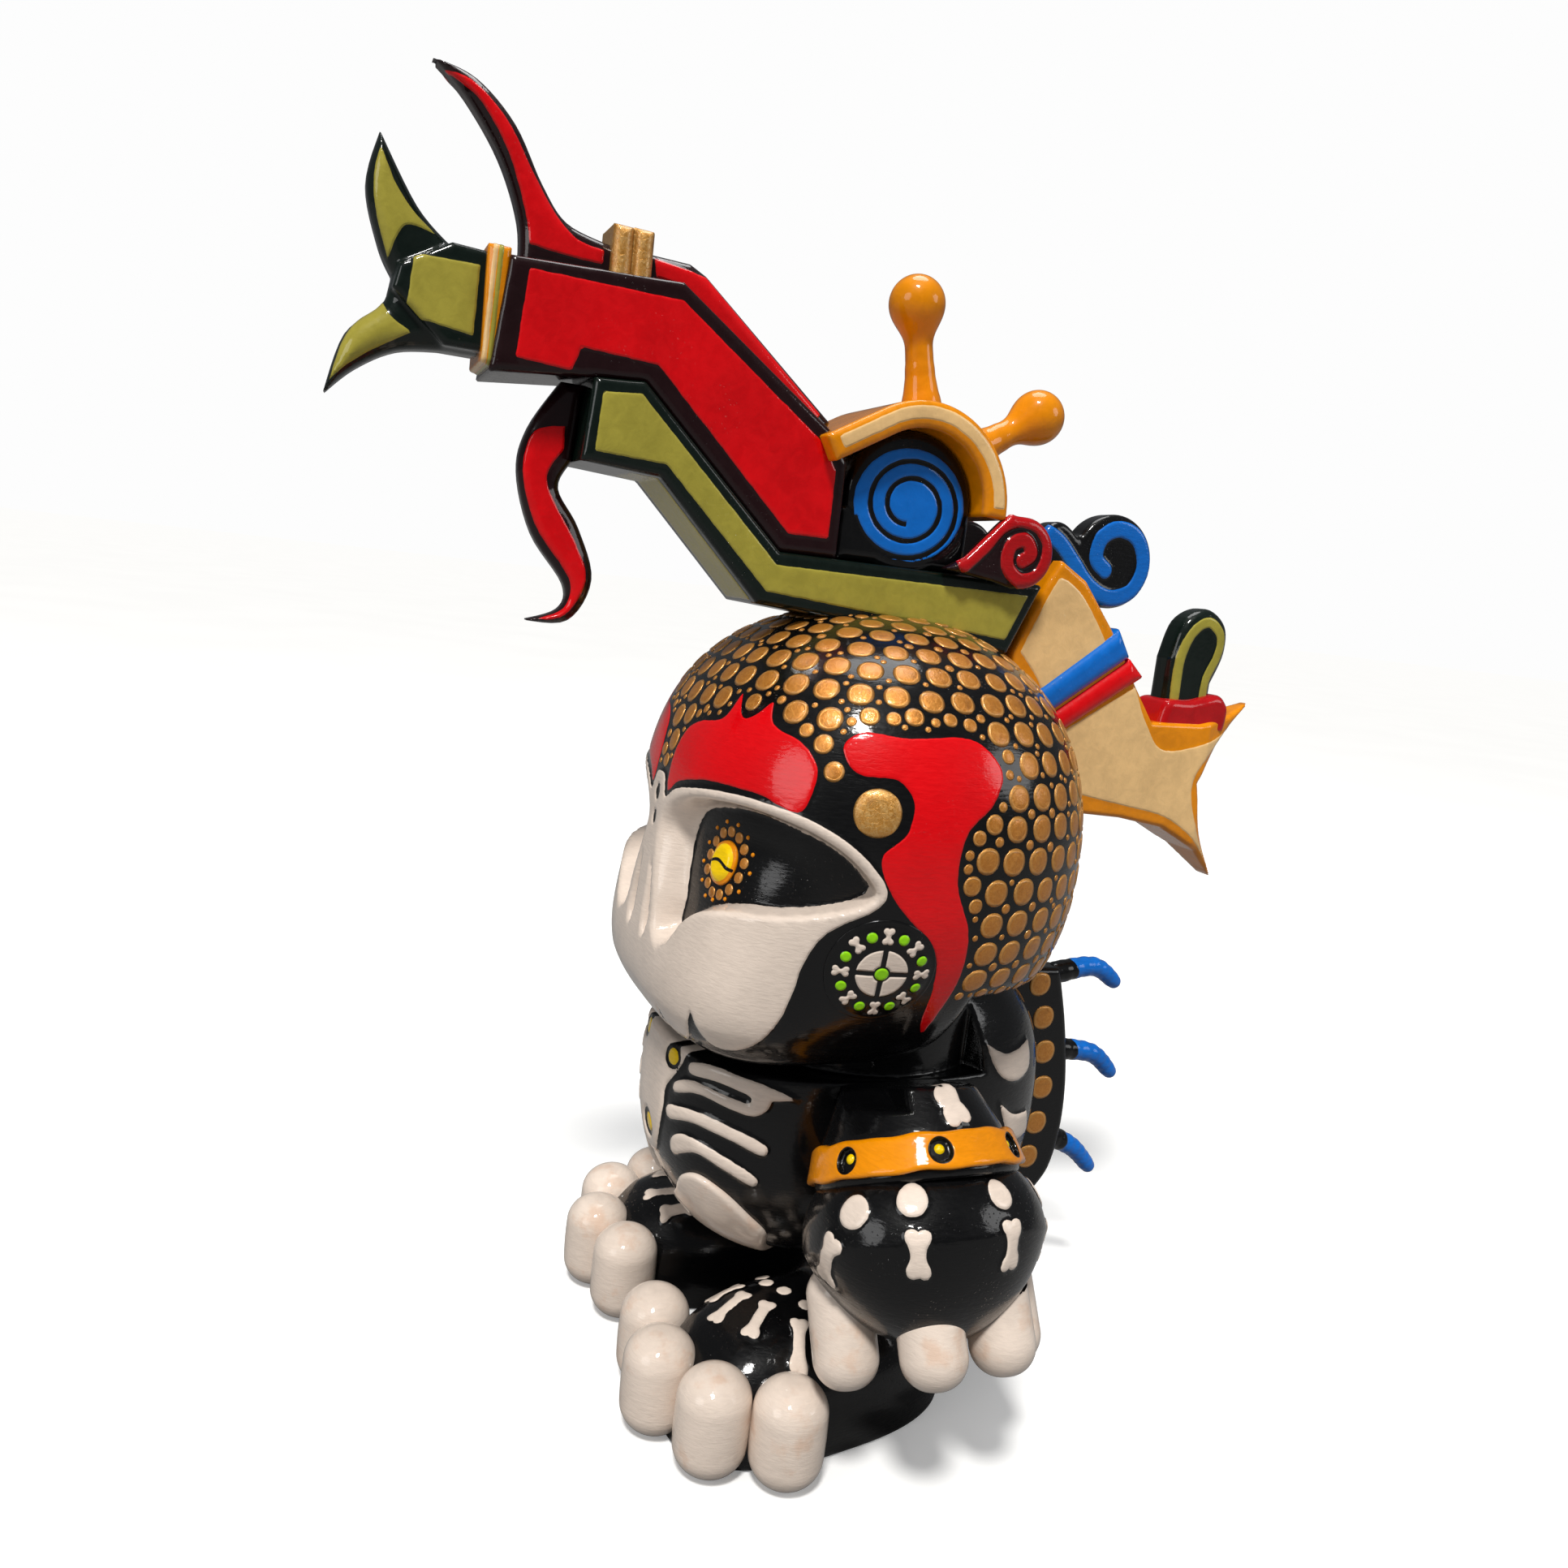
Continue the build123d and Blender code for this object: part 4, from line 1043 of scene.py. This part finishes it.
def spiral_line(x, y, z):
    """Distance to the blue of the serpent's eye: an oval with a black spiral left in it."""
    dy, dz = (y - EYE_CENTRE[0] + 0.4), (z - EYE_CENTRE[1] + 0.6) * 1.12
    r, turn = np.hypot(dy, dz), (-np.arctan2(dz, dy) / (2 * math.pi) - 0.25) % 1.0
    black = 1e3
    for lap in range(3):
        wound = np.minimum(turn + lap, SPIRAL_TURNS)
        line = np.where(turn + lap <= SPIRAL_TURNS, np.abs(r - 6.2 - SPIRAL_PITCH * wound), 1e3)
        black = np.minimum(black, line)
    disc = np.maximum(r - 18.6, EYE_BLOCK_HALF_T - 2.0 - np.abs(x))
    return np.maximum(disc, 0.85 - black)


def build_serpent_eyes():
    y, z = EYE_CENTRE
    front, back, foot_z, sill_z = -16, y + ARCH_R[0], 259, z - 3
    sill_line = np.array([(front, foot_z), (front, sill_z), (back, sill_z), (back, foot_z)])
    turns = np.radians(np.arange(0, 360, 6))
    drum_line = np.stack([y + ARCH_R[0] * np.cos(turns), z + ARCH_R[0] * np.sin(turns)], 1)
    sill, drum = [slab(line, EYE_BLOCK_HALF_T, 3) for line in (sill_line, drum_line)]
    board("eye_block", lambda a, b, c: np.minimum(sill(a, b, c), drum(a, b, c)), BLACK,
          "black_lacquer", [("blue", BLUE, spiral_line)], step=0.7, mottle=0.06)

    def stripe(a, b, c):
        end = math.radians(ARCH_TO_DEG)
        db, dc = b - EYE_CENTRE[0], c - EYE_CENTRE[1]
        run = -db * math.sin(end) + dc * math.cos(end)
        ends = np.maximum(run - ARCH_TAIL + 3.2, np.where(run > 0, -1e3, 1.5 - dc))
        return np.maximum.reduce([np.abs(arch_line(b, c) - 0.4) - 1.9, ends, ARCH_HALF_T - 1.3 - np.abs(a)])

    board("brow_arch", arch_field, ORANGE, "orange_paint", [("cream", CREAM, stripe)], step=0.8)
    for i, (foot, ball) in enumerate(KNOBS, 1):
        a, b = (0.0, *foot), (0.0, *ball)
        middle = tuple(p + (q - p) * 0.42 for p, q in zip(a, b))
        near = tuple(p + (q - p) * 0.12 for p, q in zip(a, b))
        stalk = rod([a, near, middle, b], [8.0, 6.0, 4.4, 4.0])
        ball_blob = blob(b, (KNOB_R - 0.1,) * 3, 2)
        board(f"knob_{i}", lambda x, y, z, s=stalk, k=ball_blob: melt(s(x, y, z), k(x, y, z), 5),
              ORANGE, "orange_paint", step=0.6, mottle=0.08)


def curl_field(disc_centre, radius, stem, half_t, middle_x, edge_r):
    """Flat curl: a round with a stem that melts into it."""
    def field(x, y, z):
        round_part = np.hypot(y - disc_centre[0], z - disc_centre[1]) - radius
        side = melt(round_part, outline_distance(y, z, stem), 3.0)
        return rounded(side, np.abs(x - middle_x) - half_t, edge_r)
    return field


def build_curls():
    inner = LOWER_JAW_HALF_T - 0.9
    outer = inner + CURL_T
    red = curl_field(CURL_CENTRE, CURL_R - 0.8, CURL_TAIL, CURL_T / 2, inner + CURL_T / 2, 1.6)

    def band(x, y, z):
        return np.maximum(path_distance(y, z, CURL_RED) - 2.25, outer - 1.6 - x)

    red_paint = varnished("curl_red_paint", MAROON, [("band", CRIMSON)], mottle=0.12)
    curl = carve("left_red_curl_carving", red, red_paint, "head", "left_red_curl", "red_paint", step=0.45,
                 marks={"band": band}, relief=lambda values: raised(values, "band", height=0.85, width=0.9))
    twin(curl, "right_red_curl")
    blue = curl_field(BLUE_CURL_CENTRE, BLUE_CURL_R, BLUE_STEM, BLUE_CURL_HALF_T - 0.6, 0.0, 2.2)
    blue_paint = varnished("curl_blue_paint", BLACK, [("band", BLUE)], mottle=0.1)
    carve("blue_curl_carving", blue, blue_paint, "head", "blue_curl", "blue_paint", step=0.6,
          marks={"band": side_band(CURL_BLUE, 2.7, BLUE_CURL_HALF_T - 0.6, 1.8)},
          relief=lambda values: raised(values, "band", height=0.6, width=0.9))


def plume_half_t(y):
    """The plume's two tips thin out to blades."""
    return PLUME_HALF_T - 8.2 * np.clip((y - 136) / 24, 0, 1)


def build_plume():
    def cream(x, y, z):
        panel = nearest(*[outline_distance(y, z, part) for part in PLUME_CREAM])
        return np.maximum(panel, plume_half_t(y) - 1.4 - np.abs(x))

    def feather(x, y, z):
        return rounded(outline_distance(y, z, PLUME), np.abs(x) - plume_half_t(y), 1.8)

    board("plume", feather, ORANGE, "cream_paint", [("cream", CREAM, cream)], step=0.9)
    for name, outline, code in (("blue_band", BLUE_BAND, BLUE), ("red_band", RED_BAND, RED)):
        slot = name.replace("band", "paint")
        board(name, slab(outline, PLUME_HALF_T + BAND_PROUD, 4.0), code, slot, step=0.7)
    board("plume_hook", slab(HOOK, HOOK_HALF_T, 3.6), BOTTLE, "olive_paint",
          [("olive", OLIVE, side_band(HOOK_OLIVE, 1.75, HOOK_HALF_T, 3.0))], step=0.5)
    board("hook_collar", slab(HOOK_COLLAR, HOOK_COLLAR_HALF_T, 3.0), CRIMSON, "red_paint",
          step=0.6)


# ---- body: torso
RIBS = [on_chest([(19.8, 106.6), (28, 107.8), (41, 106), (51, 102.6), (44, 101.6), (43, 98.6), (39.6, 96.4),
    (34, 97), (24, 98.6), (15.4, 95.6), (15.2, 98.8), (22, 101.8), (31, 100.8), (37.4, 99.8), (38.6, 101.4),
    (36, 102.8), (28, 104), (20, 103.4)], (3, 4)), on_chest([(13.4, 90.6), (24.9, 93.2), (35, 91.4),
    (43.6, 88), (43.2, 84.6), (34.5, 87.6), (23.4, 89.2), (13.8, 86.6)]), on_chest([(15.4, 80.6),
    (20.7, 84.4), (30.7, 83), (41.5, 77.6), (41, 74.2), (33.5, 77.6), (24.9, 80.2), (16.4, 76.2)]),
    on_chest([(-16.6, 116), (-16.6, 106), (-14, 100), (-10.8, 95), (-10.4, 87), (-7.8, 77), (-4, 70.4),
    (4, 70.4), (7.8, 77), (10.4, 87), (10.8, 95), (14, 100), (16.6, 106), (16.6, 116)]),
    on_chest([(122.4, 117), (130, 113), (137, 113), (144, 114.6), (142.4, 106.4), (136, 103.5),
    (129, 105.4), (124.5, 110.4)], (0, 3)), on_chest([(127.4, 98), (134.6, 92.6), (143.4, 91),
    (145.4, 83.6), (139, 82.6), (132.4, 87.6)], (0, 2))]
CHEST_OVAL = (11.6, 105.0)         # (degrees round, height)
LOW_SPOT = (0, 78)
PELVIS = on_chest([(19.2, 70.2), (25.4, 73), (33.2, 69.6), (39.6, 62.6), (43.6, 55.6), (40.4, 47.6),
    (36.6, 41.6), (32.6, 41), (17.2, 49.4), (11.4, 53), (10.4, 58.6), (15, 63.6)])
PELVIS_HOLE = (13.8, 55.6)


def under_jaw(x, y, z):
    """Negative where the body may be without touching the turning jaw."""
    r = np.hypot(x, y - NECK_Y)
    below = JAW_AIR - outline_distance(r, z, np.array(JAW_SWEEP, float))
    hump = np.maximum(r - NECK_HUMP_R + 0.1, z - NECK_HUMP_TOP_Z + 0.1)
    stop = math.radians(BACK_STOP_DEG)
    behind = np.maximum(np.abs(x) * math.sin(stop) - (y - NECK_Y) * math.cos(stop), z - CRANIUM_FLOOR_Z + 0.6)
    return nearest(below, hump, behind)


def beside_jaw(x, y, z):
    """The same for the arms."""
    r = np.hypot(x, y - NECK_Y)
    corner, flank = [JAW_AIR - outline_distance(r, z, np.array(rim, float))
                     for rim in (JAW_SWEEP, FLANK_SWEEP)]
    ahead = math.radians(FLANK_AHEAD_DEG)
    beside = -np.abs(x) * math.sin(ahead) - (y - NECK_Y) * math.cos(ahead)
    return np.maximum(flank, np.minimum(corner, beside))


torso_mass = blob(*TORSO)


def torso_field(x, y, z):
    return trim(torso_mass(x, y, z), under_jaw(x, y, z), 1.0)


def build_torso():
    def high_spot(u, v):
        return np.hypot(u - math.radians(CHEST_OVAL[0]) * TORSO_R, v - CHEST_OVAL[1])

    def bone(x, y, z):
        u, v = chest_chart(x, y, z)
        ribs = nearest(*[outline_distance(u, v, rib) for rib in RIBS])
        return np.maximum(ribs, -np.minimum(high_spot(u, v) - 3.6, oval(u, v, LOW_SPOT, (3.6, 4.6))))

    def yellow(x, y, z):
        u, v = chest_chart(x, y, z)
        return np.minimum(high_spot(u, v) - 2.4, oval(u, v, LOW_SPOT, (2.2, 3.0)))

    material = varnished("torso_paint", BLACK, [("bone", BONE), ("yellow", YELLOW)], mottle=0.08)

    def relief(values):
        return raised(values, "bone", height=1.1, width=1.6) + raised(values, "yellow", height=0.5)

    carve("torso_carving", torso_field, material, "body", "torso", "black_lacquer", step=0.95,
          marks={"bone": bone, "yellow": yellow}, relief=relief)

    def band_mark(x, y, z):
        u, v = chest_chart(x, y, z)
        hole = np.hypot(u - math.radians(PELVIS_HOLE[0]) * TORSO_R, v - PELVIS_HOLE[1]) - 1.5
        return np.maximum(outline_distance(u, v, PELVIS), -hole)

    def band(x, y, z):
        over = torso_mass(x, y, z)
        return trim(np.maximum(over - 1.9, -1.2 - over), band_mark(x, y, z), 1.8)

    carve("pelvis_band_carving", band, BONE_PAINT, "body", "pelvis_band", "bone_white", step=0.6)


PLATE_HALF_T = 5.0
PLATE = bend([(60, 128), (93, 127.4), (99, 106), (103, 84), (103.6, 66), (101, 51), (95, 42), (60, 41)], (0,
    1, 6, 7))
PLATE_DOTS = [(84.5, 122), (88, 109.5), (90.6, 96.5), (92, 83), (91.6, 69.5), (90, 56.5)]
PLATE_DOT_R = 4.6
SPIKES = [((94, 124.4), (110, 126.4), (120, 120.6)), ((99, 95.5), (115, 93), (124.5, 85.5)), ((101, 62),
    (113, 56), (121.5, 48))]


def build_back():
    plate = slab(PLATE, PLATE_HALF_T, 2.4)
    carve("dorsal_plate_carving", plate, varnished("dorsal_plate_paint", BLACK, mottle=0.06), "body",
          "dorsal_plate", "black_lacquer", step=0.8)
    for side, name in ((1, "left_plate_dots"), (-1, "right_plate_dots")):
        spots = [(side * PLATE_HALF_T, *at) for at in PLATE_DOTS]
        lay_drops(name, spots, PLATE_DOT_R, COPPER_PAINT, "body", "gold_paint", plate, 0.5, 10)
    for i, (root, knee, tip) in enumerate(SPIKES, 1):
        points = [(0.0, *point) for point in bend([root, knee, tip], closed=False, per_span=4)]

        def base(x, y, z, root=root):
            return np.hypot(y - root[0], z - root[1]) - 7.4

        material = varnished(f"back_spike_{i}_paint", BLUE, [("base", BLACK)], mottle=0.12, wobble=0.5)
        carve(f"back_spike_{i}_carving", rod(points, np.linspace(4.0, 2.7, len(points))), material, "body",
              f"back_spike_{i}", "blue_paint", step=0.45, marks={"base": base}, margin=3.5)


# ---- body: feet
PAW = ((37, -7, 3), (28, 47, 33), 2.6)
PAW_TOE_IN_DEG = 9.0
LEG = (28, 13, 17.5)
LEG_TOP_Z = 70.0
TOES = [(18.2, -50.5), (39.4, -55), (60, -45), (69.8, -25.5)]
TOE_R = 11.0
TOE_H = 31.0
TOE_EDGE_R = 8.4
FOOT_BONES = [((24.6, -24.8), (26.6, -36.6)), ((31.6, -26), (38.2, -39.2)), ((39, -21.6), (49.6, -32.2)),
    ((48.4, -15.6), (61.4, -20.4))]
FOOT_DOTS = [(23.4, -17.6), (28.8, -18.6), (35.4, -15.4), (43.6, -11.6)]
SOLE_Z = 0.05


def foot_field(x, y, z):
    centre, half, power = PAW
    turn = math.radians(PAW_TOE_IN_DEG)
    dx, dy = x - centre[0], y - centre[1]
    paw = blob((0, 0, centre[2]), half, power)(dx * math.cos(turn) + dy * math.sin(turn),
                                               dy * math.cos(turn) - dx * math.sin(turn), z)
    leg = np.maximum(np.hypot(x - LEG[0], y - LEG[1]) - LEG[2], z - LEG_TOP_Z)
    return trim(melt(paw, leg, 6), SOLE_Z - z, 2.4)


def toe_shape(x, y):
    def field(a, b, c):
        r = np.hypot(a - x, b - y)
        barrel = 0.9 * ((c - TOE_H * 0.5) / (TOE_H * 0.5)) ** 2
        return rounded(r - TOE_R + barrel, np.abs(c - TOE_H / 2) - TOE_H / 2 + SOLE_Z, TOE_EDGE_R)
    return field


def build_feet():
    def bone(x, y, z):
        shapes = [bone_shape(x, y, a, b, 5.2, 0.34) for a, b in FOOT_BONES]
        dots = [np.hypot(x - a, y - b) - 2.3 for a, b in FOOT_DOTS]
        return np.maximum(nearest(*shapes, *dots), 9.0 - z)

    material = varnished("foot_paint", BLACK, [("bone", BONE)], mottle=0.08)
    foot = carve("left_foot_carving", foot_field, material, "body", "left_foot", "black_lacquer", step=0.85,
                 marks={"bone": bone}, relief=lambda values: raised(values, "bone", height=0.6, width=1.0))
    twin(foot, "right_foot")
    for i, (x, y) in enumerate(TOES, 1):
        toe = carve(f"left_toe_{i}_carving", toe_shape(x, y), BONE_PAINT, "body", f"left_toe_{i}",
                    "bone_white", step=0.8, margin=2.4)
        twin(toe, f"right_toe_{i}")


# ---- body: arms
# (radius, distance down the arm), before its edge is rounded
ARM_PROFILE = [(-5, 0.4), (13, 0.4), (19, 10), (24, 20.5), (27.2, 31.4), (-5, 31.4)]
ARM_EDGE_R = 2.0
BRACELET_DOWN = 26.0
BRACELET_W = 10.0
BRACELET_T = 4.0
BEAD_DEGREES = [76.0 + 360.0 / 7 * k for k in range(7)]
BEAD_HOLE_R = 3.1
BEAD_R = 1.75
HAND_MID = 48.5
HAND_HALF = (34.5, 30, 27)                                          # (forwards, outwards, down the arm)
CLAW_R = 9.3
CLAW_LENGTH = 33.0
CLAW_EDGE_R = 8.4
CLAWS = [(22, -13, 68.5), (5.5, 7, 69.5), (-17.5, 4.5, 69), (-30, -12, 68.5)]
HAND_DOTS = [((29.6, 39.3), 4.2), ((58.3, 37.8), 4.2), ((109, 38.6), 3.9), ((158, 39), 4.2)]
HAND_BONES = [((20, 45), (0, 56)), ((59.4, 45), (56.4, 57)), ((110.6, 45), (112, 57.6)), ((160, 45.6),
    (164, 57))]
ARM_BONE = ((91, 8.6), (95, 19.9))


def arm_chart_mm(place):
    return math.radians(place[0]) * ARM_R, place[1]


def arm_field(x, y, z):
    forward, outward, down = arm_axes(x, y, z)
    shaft = outline_distance(np.hypot(forward, outward), down, np.array(ARM_PROFILE, float)) - ARM_EDGE_R
    return trim(trim(shaft, 0.3 - down, 1.5), beside_jaw(x, y, z), 1.6)


def hand_field(x, y, z):
    forward, outward, down = arm_axes(x, y, z)
    narrowing = 1 + 0.3 * np.clip((down - HAND_MID) / HAND_HALF[2], 0, 1)
    fist = blob((0, 0, HAND_MID), HAND_HALF, 2.2)(forward * narrowing, outward * narrowing, down)
    return trim(fist, 31.5 - down, 2.0)


def arm_radius(down):
    """The arm's radius under the bracelet."""
    return 26 + (down - 20.5) * 0.29


def bracelet_field(x, y, z):
    forward, outward, down = arm_axes(x, y, z)
    r = np.hypot(forward, outward)
    turn = np.arctan2(outward, forward)
    wave = 0.45 * np.sin(turn * 9 + 0.6) + 0.3 * np.sin(turn * 15)
    proud = r - arm_radius(down)
    ends = np.abs(down - BRACELET_DOWN - wave * 0.5) - BRACELET_W / 2
    ring = rounded(np.abs(proud - 0.6) - BRACELET_T / 2, ends, 1.4)
    for angle in BEAD_DEGREES:
        a = math.radians(angle)
        off = np.hypot(r * np.sin(turn - a), down - BRACELET_DOWN)
        facing = forward * math.cos(a) + outward * math.sin(a)
        pit = np.where(facing > 0, np.maximum(off - BEAD_HOLE_R, 0.8 - proud), 1e3)
        ring = trim(ring, -pit, 0.6)
    return ring


def bead_centre(angle, rise):
    r = arm_radius(BRACELET_DOWN) + rise
    return arm_point(r * math.cos(math.radians(angle)), r * math.sin(math.radians(angle)), BRACELET_DOWN)


def claw_field(place):
    forward, outward, down = place

    def field(x, y, z):
        f, o, d = arm_axes(x, y, z)
        r = np.hypot(f - forward, o - outward)
        return rounded(r - CLAW_R, np.abs(d - down) - CLAW_LENGTH / 2, CLAW_EDGE_R)
    return field


def build_arms():
    def shaft_bone(x, y, z):
        return bone_shape(*arm_chart(x, y, z), *[arm_chart_mm(p) for p in ARM_BONE], 10.0, 0.28)

    def hand_bone(x, y, z):
        u, v = arm_chart(x, y, z)
        shapes = [bone_shape(u, v, arm_chart_mm(a), arm_chart_mm(b), 6.2, 0.33) for a, b in HAND_BONES]
        dots = [np.hypot(u - arm_chart_mm(place)[0], v - place[1]) - r for place, r in HAND_DOTS]
        return nearest(*shapes, *dots)

    def pits(x, y, z):
        u, v = arm_chart(x, y, z)
        half_turn = math.pi * ARM_R
        spots = []
        for angle in BEAD_DEGREES:
            round_arm = np.mod(u - math.radians(angle) * ARM_R + half_turn, 2 * half_turn) - half_turn
            spots.append(np.hypot(round_arm, v - BRACELET_DOWN) * 0.93)
        return nearest(*spots) - BEAD_HOLE_R - 0.25

    rise = lambda values: raised(values, "bone", height=0.6, width=1.0)
    shaft_paint = varnished("arm_paint", BLACK, [("bone", BONE)], mottle=0.08)
    made = [carve("left_arm_carving", arm_field, shaft_paint, "body", "left_arm", "black_lacquer",
                  step=0.8, marks={"bone": shaft_bone}, relief=rise),
            carve("left_hand_carving", hand_field, shaft_paint, "body", "left_hand", "black_lacquer",
                  step=0.85, marks={"bone": hand_bone}, relief=rise),
            carve("left_bracelet_carving", bracelet_field,
                  varnished("bracelet_paint", ORANGE, [("pit", BLACK)], mottle=0.1, wobble=0.12), "body",
                  "left_bracelet", "orange_paint", step=0.55, marks={"pit": pits})]
    beads = [blob(bead_centre(angle, -0.3), (BEAD_R,) * 3, 2) for angle in BEAD_DEGREES
             if bead_centre(angle, 0)[0] > 48.5]
    made.append(carve("left_beads", lambda x, y, z: nearest(*[bead(x, y, z) for bead in beads]), YELLOW_PAINT,
                      "body", "left_bracelet_studs", "yellow_paint", step=0.4))
    for i, place in enumerate(CLAWS, 1):
        made.append(carve(f"left_claw_{i}_carving", claw_field(place), BONE_PAINT, "body", f"left_claw_{i}",
                          "bone_white", step=0.75, margin=9.0))
    nodes = ["arm", "hand", "bracelet", "bracelet_studs", "claw_1", "claw_2", "claw_3", "claw_4"]
    for piece, node in zip(made, nodes):
        twin(piece, "right_" + node)


# ---- stage
def wooden_pegs():
    """Bare wood for the hidden dowel and pegs, which stay as they are in the frame."""
    n = Nodes("peg_wood")
    grain = n.noise(150, 5.0, 0.6, (1, 1, 0.12), 0.4)
    colour = n.mix(n.ramp(grain, 0.3, 0.7), linear("B98A55"), linear("D9B07C"))
    wood = n.finish(colour, n.ramp(grain, 0.3, 0.7, 0.55, 0.75), n.bump(grain, 0.0002), n.bump(grain, 0.0001))
    for node in ("neck_dowel", "shoulder_pegs", "headdress_pegs"):
        for place in frame["nodes"][node].material_slots:
            place.material = wood


FLOOR_GLOW = 0.215           # evens the floor out to the far distance


def build_floor():
    n = Nodes("pale_floor")
    cloud = n.noise(3, 3.0)
    colour = n.mix(n.ramp(cloud, 0.3, 0.7), linear("F3F3F2"), linear("F6F6F5"))
    fine = n.noise(400, 2.0)
    paper = n.finish(colour, n.ramp(fine, 0.3, 0.7, 0.62, 0.7), n.bump(fine, 0.00003), n.bump(fine, 0.00002),
                     Specular_IOR_Level=0.0, Emission_Color=linear("FFFFFF"), Emission_Strength=FLOOR_GLOW)
    n.dim_bounce(linear("8C8C8C"))
    bpy.ops.mesh.primitive_plane_add(size=120, location=(0, 0, 0))
    floor = bpy.context.object
    floor.name = "floor"
    floor.data.materials.append(paper)


def area_light(name, place, target, size, power):
    lamp = bpy.data.lights.new(name, "AREA")
    lamp.shape = "DISK"
    lamp.size = size
    lamp.energy = power
    light = bpy.data.objects.new(name, lamp)
    bpy.context.scene.collection.objects.link(light)
    light.location = place
    light.rotation_euler = (Vector(target) - Vector(place)).to_track_quat("-Z", "Y").to_euler()


def build_lights():
    lamp = bpy.data.lights.new("key", "SUN")
    lamp.energy = 2.7
    lamp.angle = math.radians(9)
    lamp.color = (1.0, 0.985, 0.96)
    key = bpy.data.objects.new("key", lamp)
    bpy.context.scene.collection.objects.link(key)
    key.rotation_euler = (Vector((0, 0, 0)) - Vector((0.75, -0.5, 1.5))).to_track_quat("-Z", "Y").to_euler()
    area_light("overhead", (-0.25, 0.15, 1.5), (0, 0, 0.15), 0.7, 6)
    area_light("front_fill", (0.5, -1.3, 0.7), (0, 0, 0.18), 0.7, 4)
    area_light("rear_fill", (0.9, 1.2, 0.9), (0, 0, 0.18), 0.7, 4)
    world = bpy.data.worlds.new("studio")
    world.use_nodes = True
    tree = world.node_tree
    tree.nodes.clear()
    output = tree.nodes.new("ShaderNodeOutputWorld")
    blend = tree.nodes.new("ShaderNodeMixShader")
    path = tree.nodes.new("ShaderNodeLightPath")
    shades = []
    for strength, code in ((0.16, "DADDE2"), (1.0, "FDFDFD")):
        shade = tree.nodes.new("ShaderNodeBackground")
        shade.inputs["Color"].default_value = linear(code)
        shade.inputs["Strength"].default_value = strength
        shades.append(shade)
    tree.links.new(path.outputs["Is Camera Ray"], blend.inputs[0])
    tree.links.new(shades[0].outputs[0], blend.inputs[1])
    tree.links.new(shades[1].outputs[0], blend.inputs[2])
    tree.links.new(blend.outputs[0], output.inputs["Surface"])
    bpy.context.scene.world = world


def build_camera():
    azimuth, pitch, roll = [math.radians(a) for a in (CAMERA_AZIMUTH_DEG, CAMERA_PITCH_DEG, CAMERA_ROLL_DEG)]
    right = Vector((math.cos(azimuth), math.sin(azimuth), 0))
    level = Vector((math.sin(azimuth), -math.cos(azimuth), 0))
    back = level * math.cos(pitch) + Vector((0, 0, math.sin(pitch)))
    up = back.cross(right)
    tilted_right = math.cos(roll) * right + math.sin(roll) * up
    tilted_up = -math.sin(roll) * right + math.cos(roll) * up
    lens = bpy.data.cameras.new("camera")
    lens.lens = LENS_MM
    lens.sensor_width = 36
    camera = bpy.data.objects.new("camera", lens)
    bpy.context.scene.collection.objects.link(camera)
    spin = Matrix((tilted_right, tilted_up, back)).transposed().to_4x4()
    camera.matrix_world = Matrix.Translation(Vector(CAMERA_AT) * MM) @ spin
    bpy.context.scene.camera = camera


# ---- put together
COPPER_PAINT = metal_paint("copper_paint", COPPER, "EBAA50", 0.5, 0.35)
GOLD_PAINT = metal_paint("gold_paint", GOLD, "F0D08C", 0.55, 0.5)
BONE_PAINT = varnished("bone_paint", BONE, mottle=0.06, stain="D9AE8E")
ORANGE_PAINT = varnished("orange_paint", ORANGE, mottle=0.1)
YELLOW_PAINT = varnished("yellow_paint", YELLOW, mottle=0.1)

build_skull()
build_dots()
build_eye()
build_ears_and_temples()
build_jaws()
build_rings()
build_tongue()
build_serpent_eyes()
build_curls()
build_plume()
build_torso()
build_back()
build_feet()
build_arms()
wooden_pegs()
build_floor()
build_lights()
build_camera()
bpy.context.scene.view_settings.view_transform = "Standard"
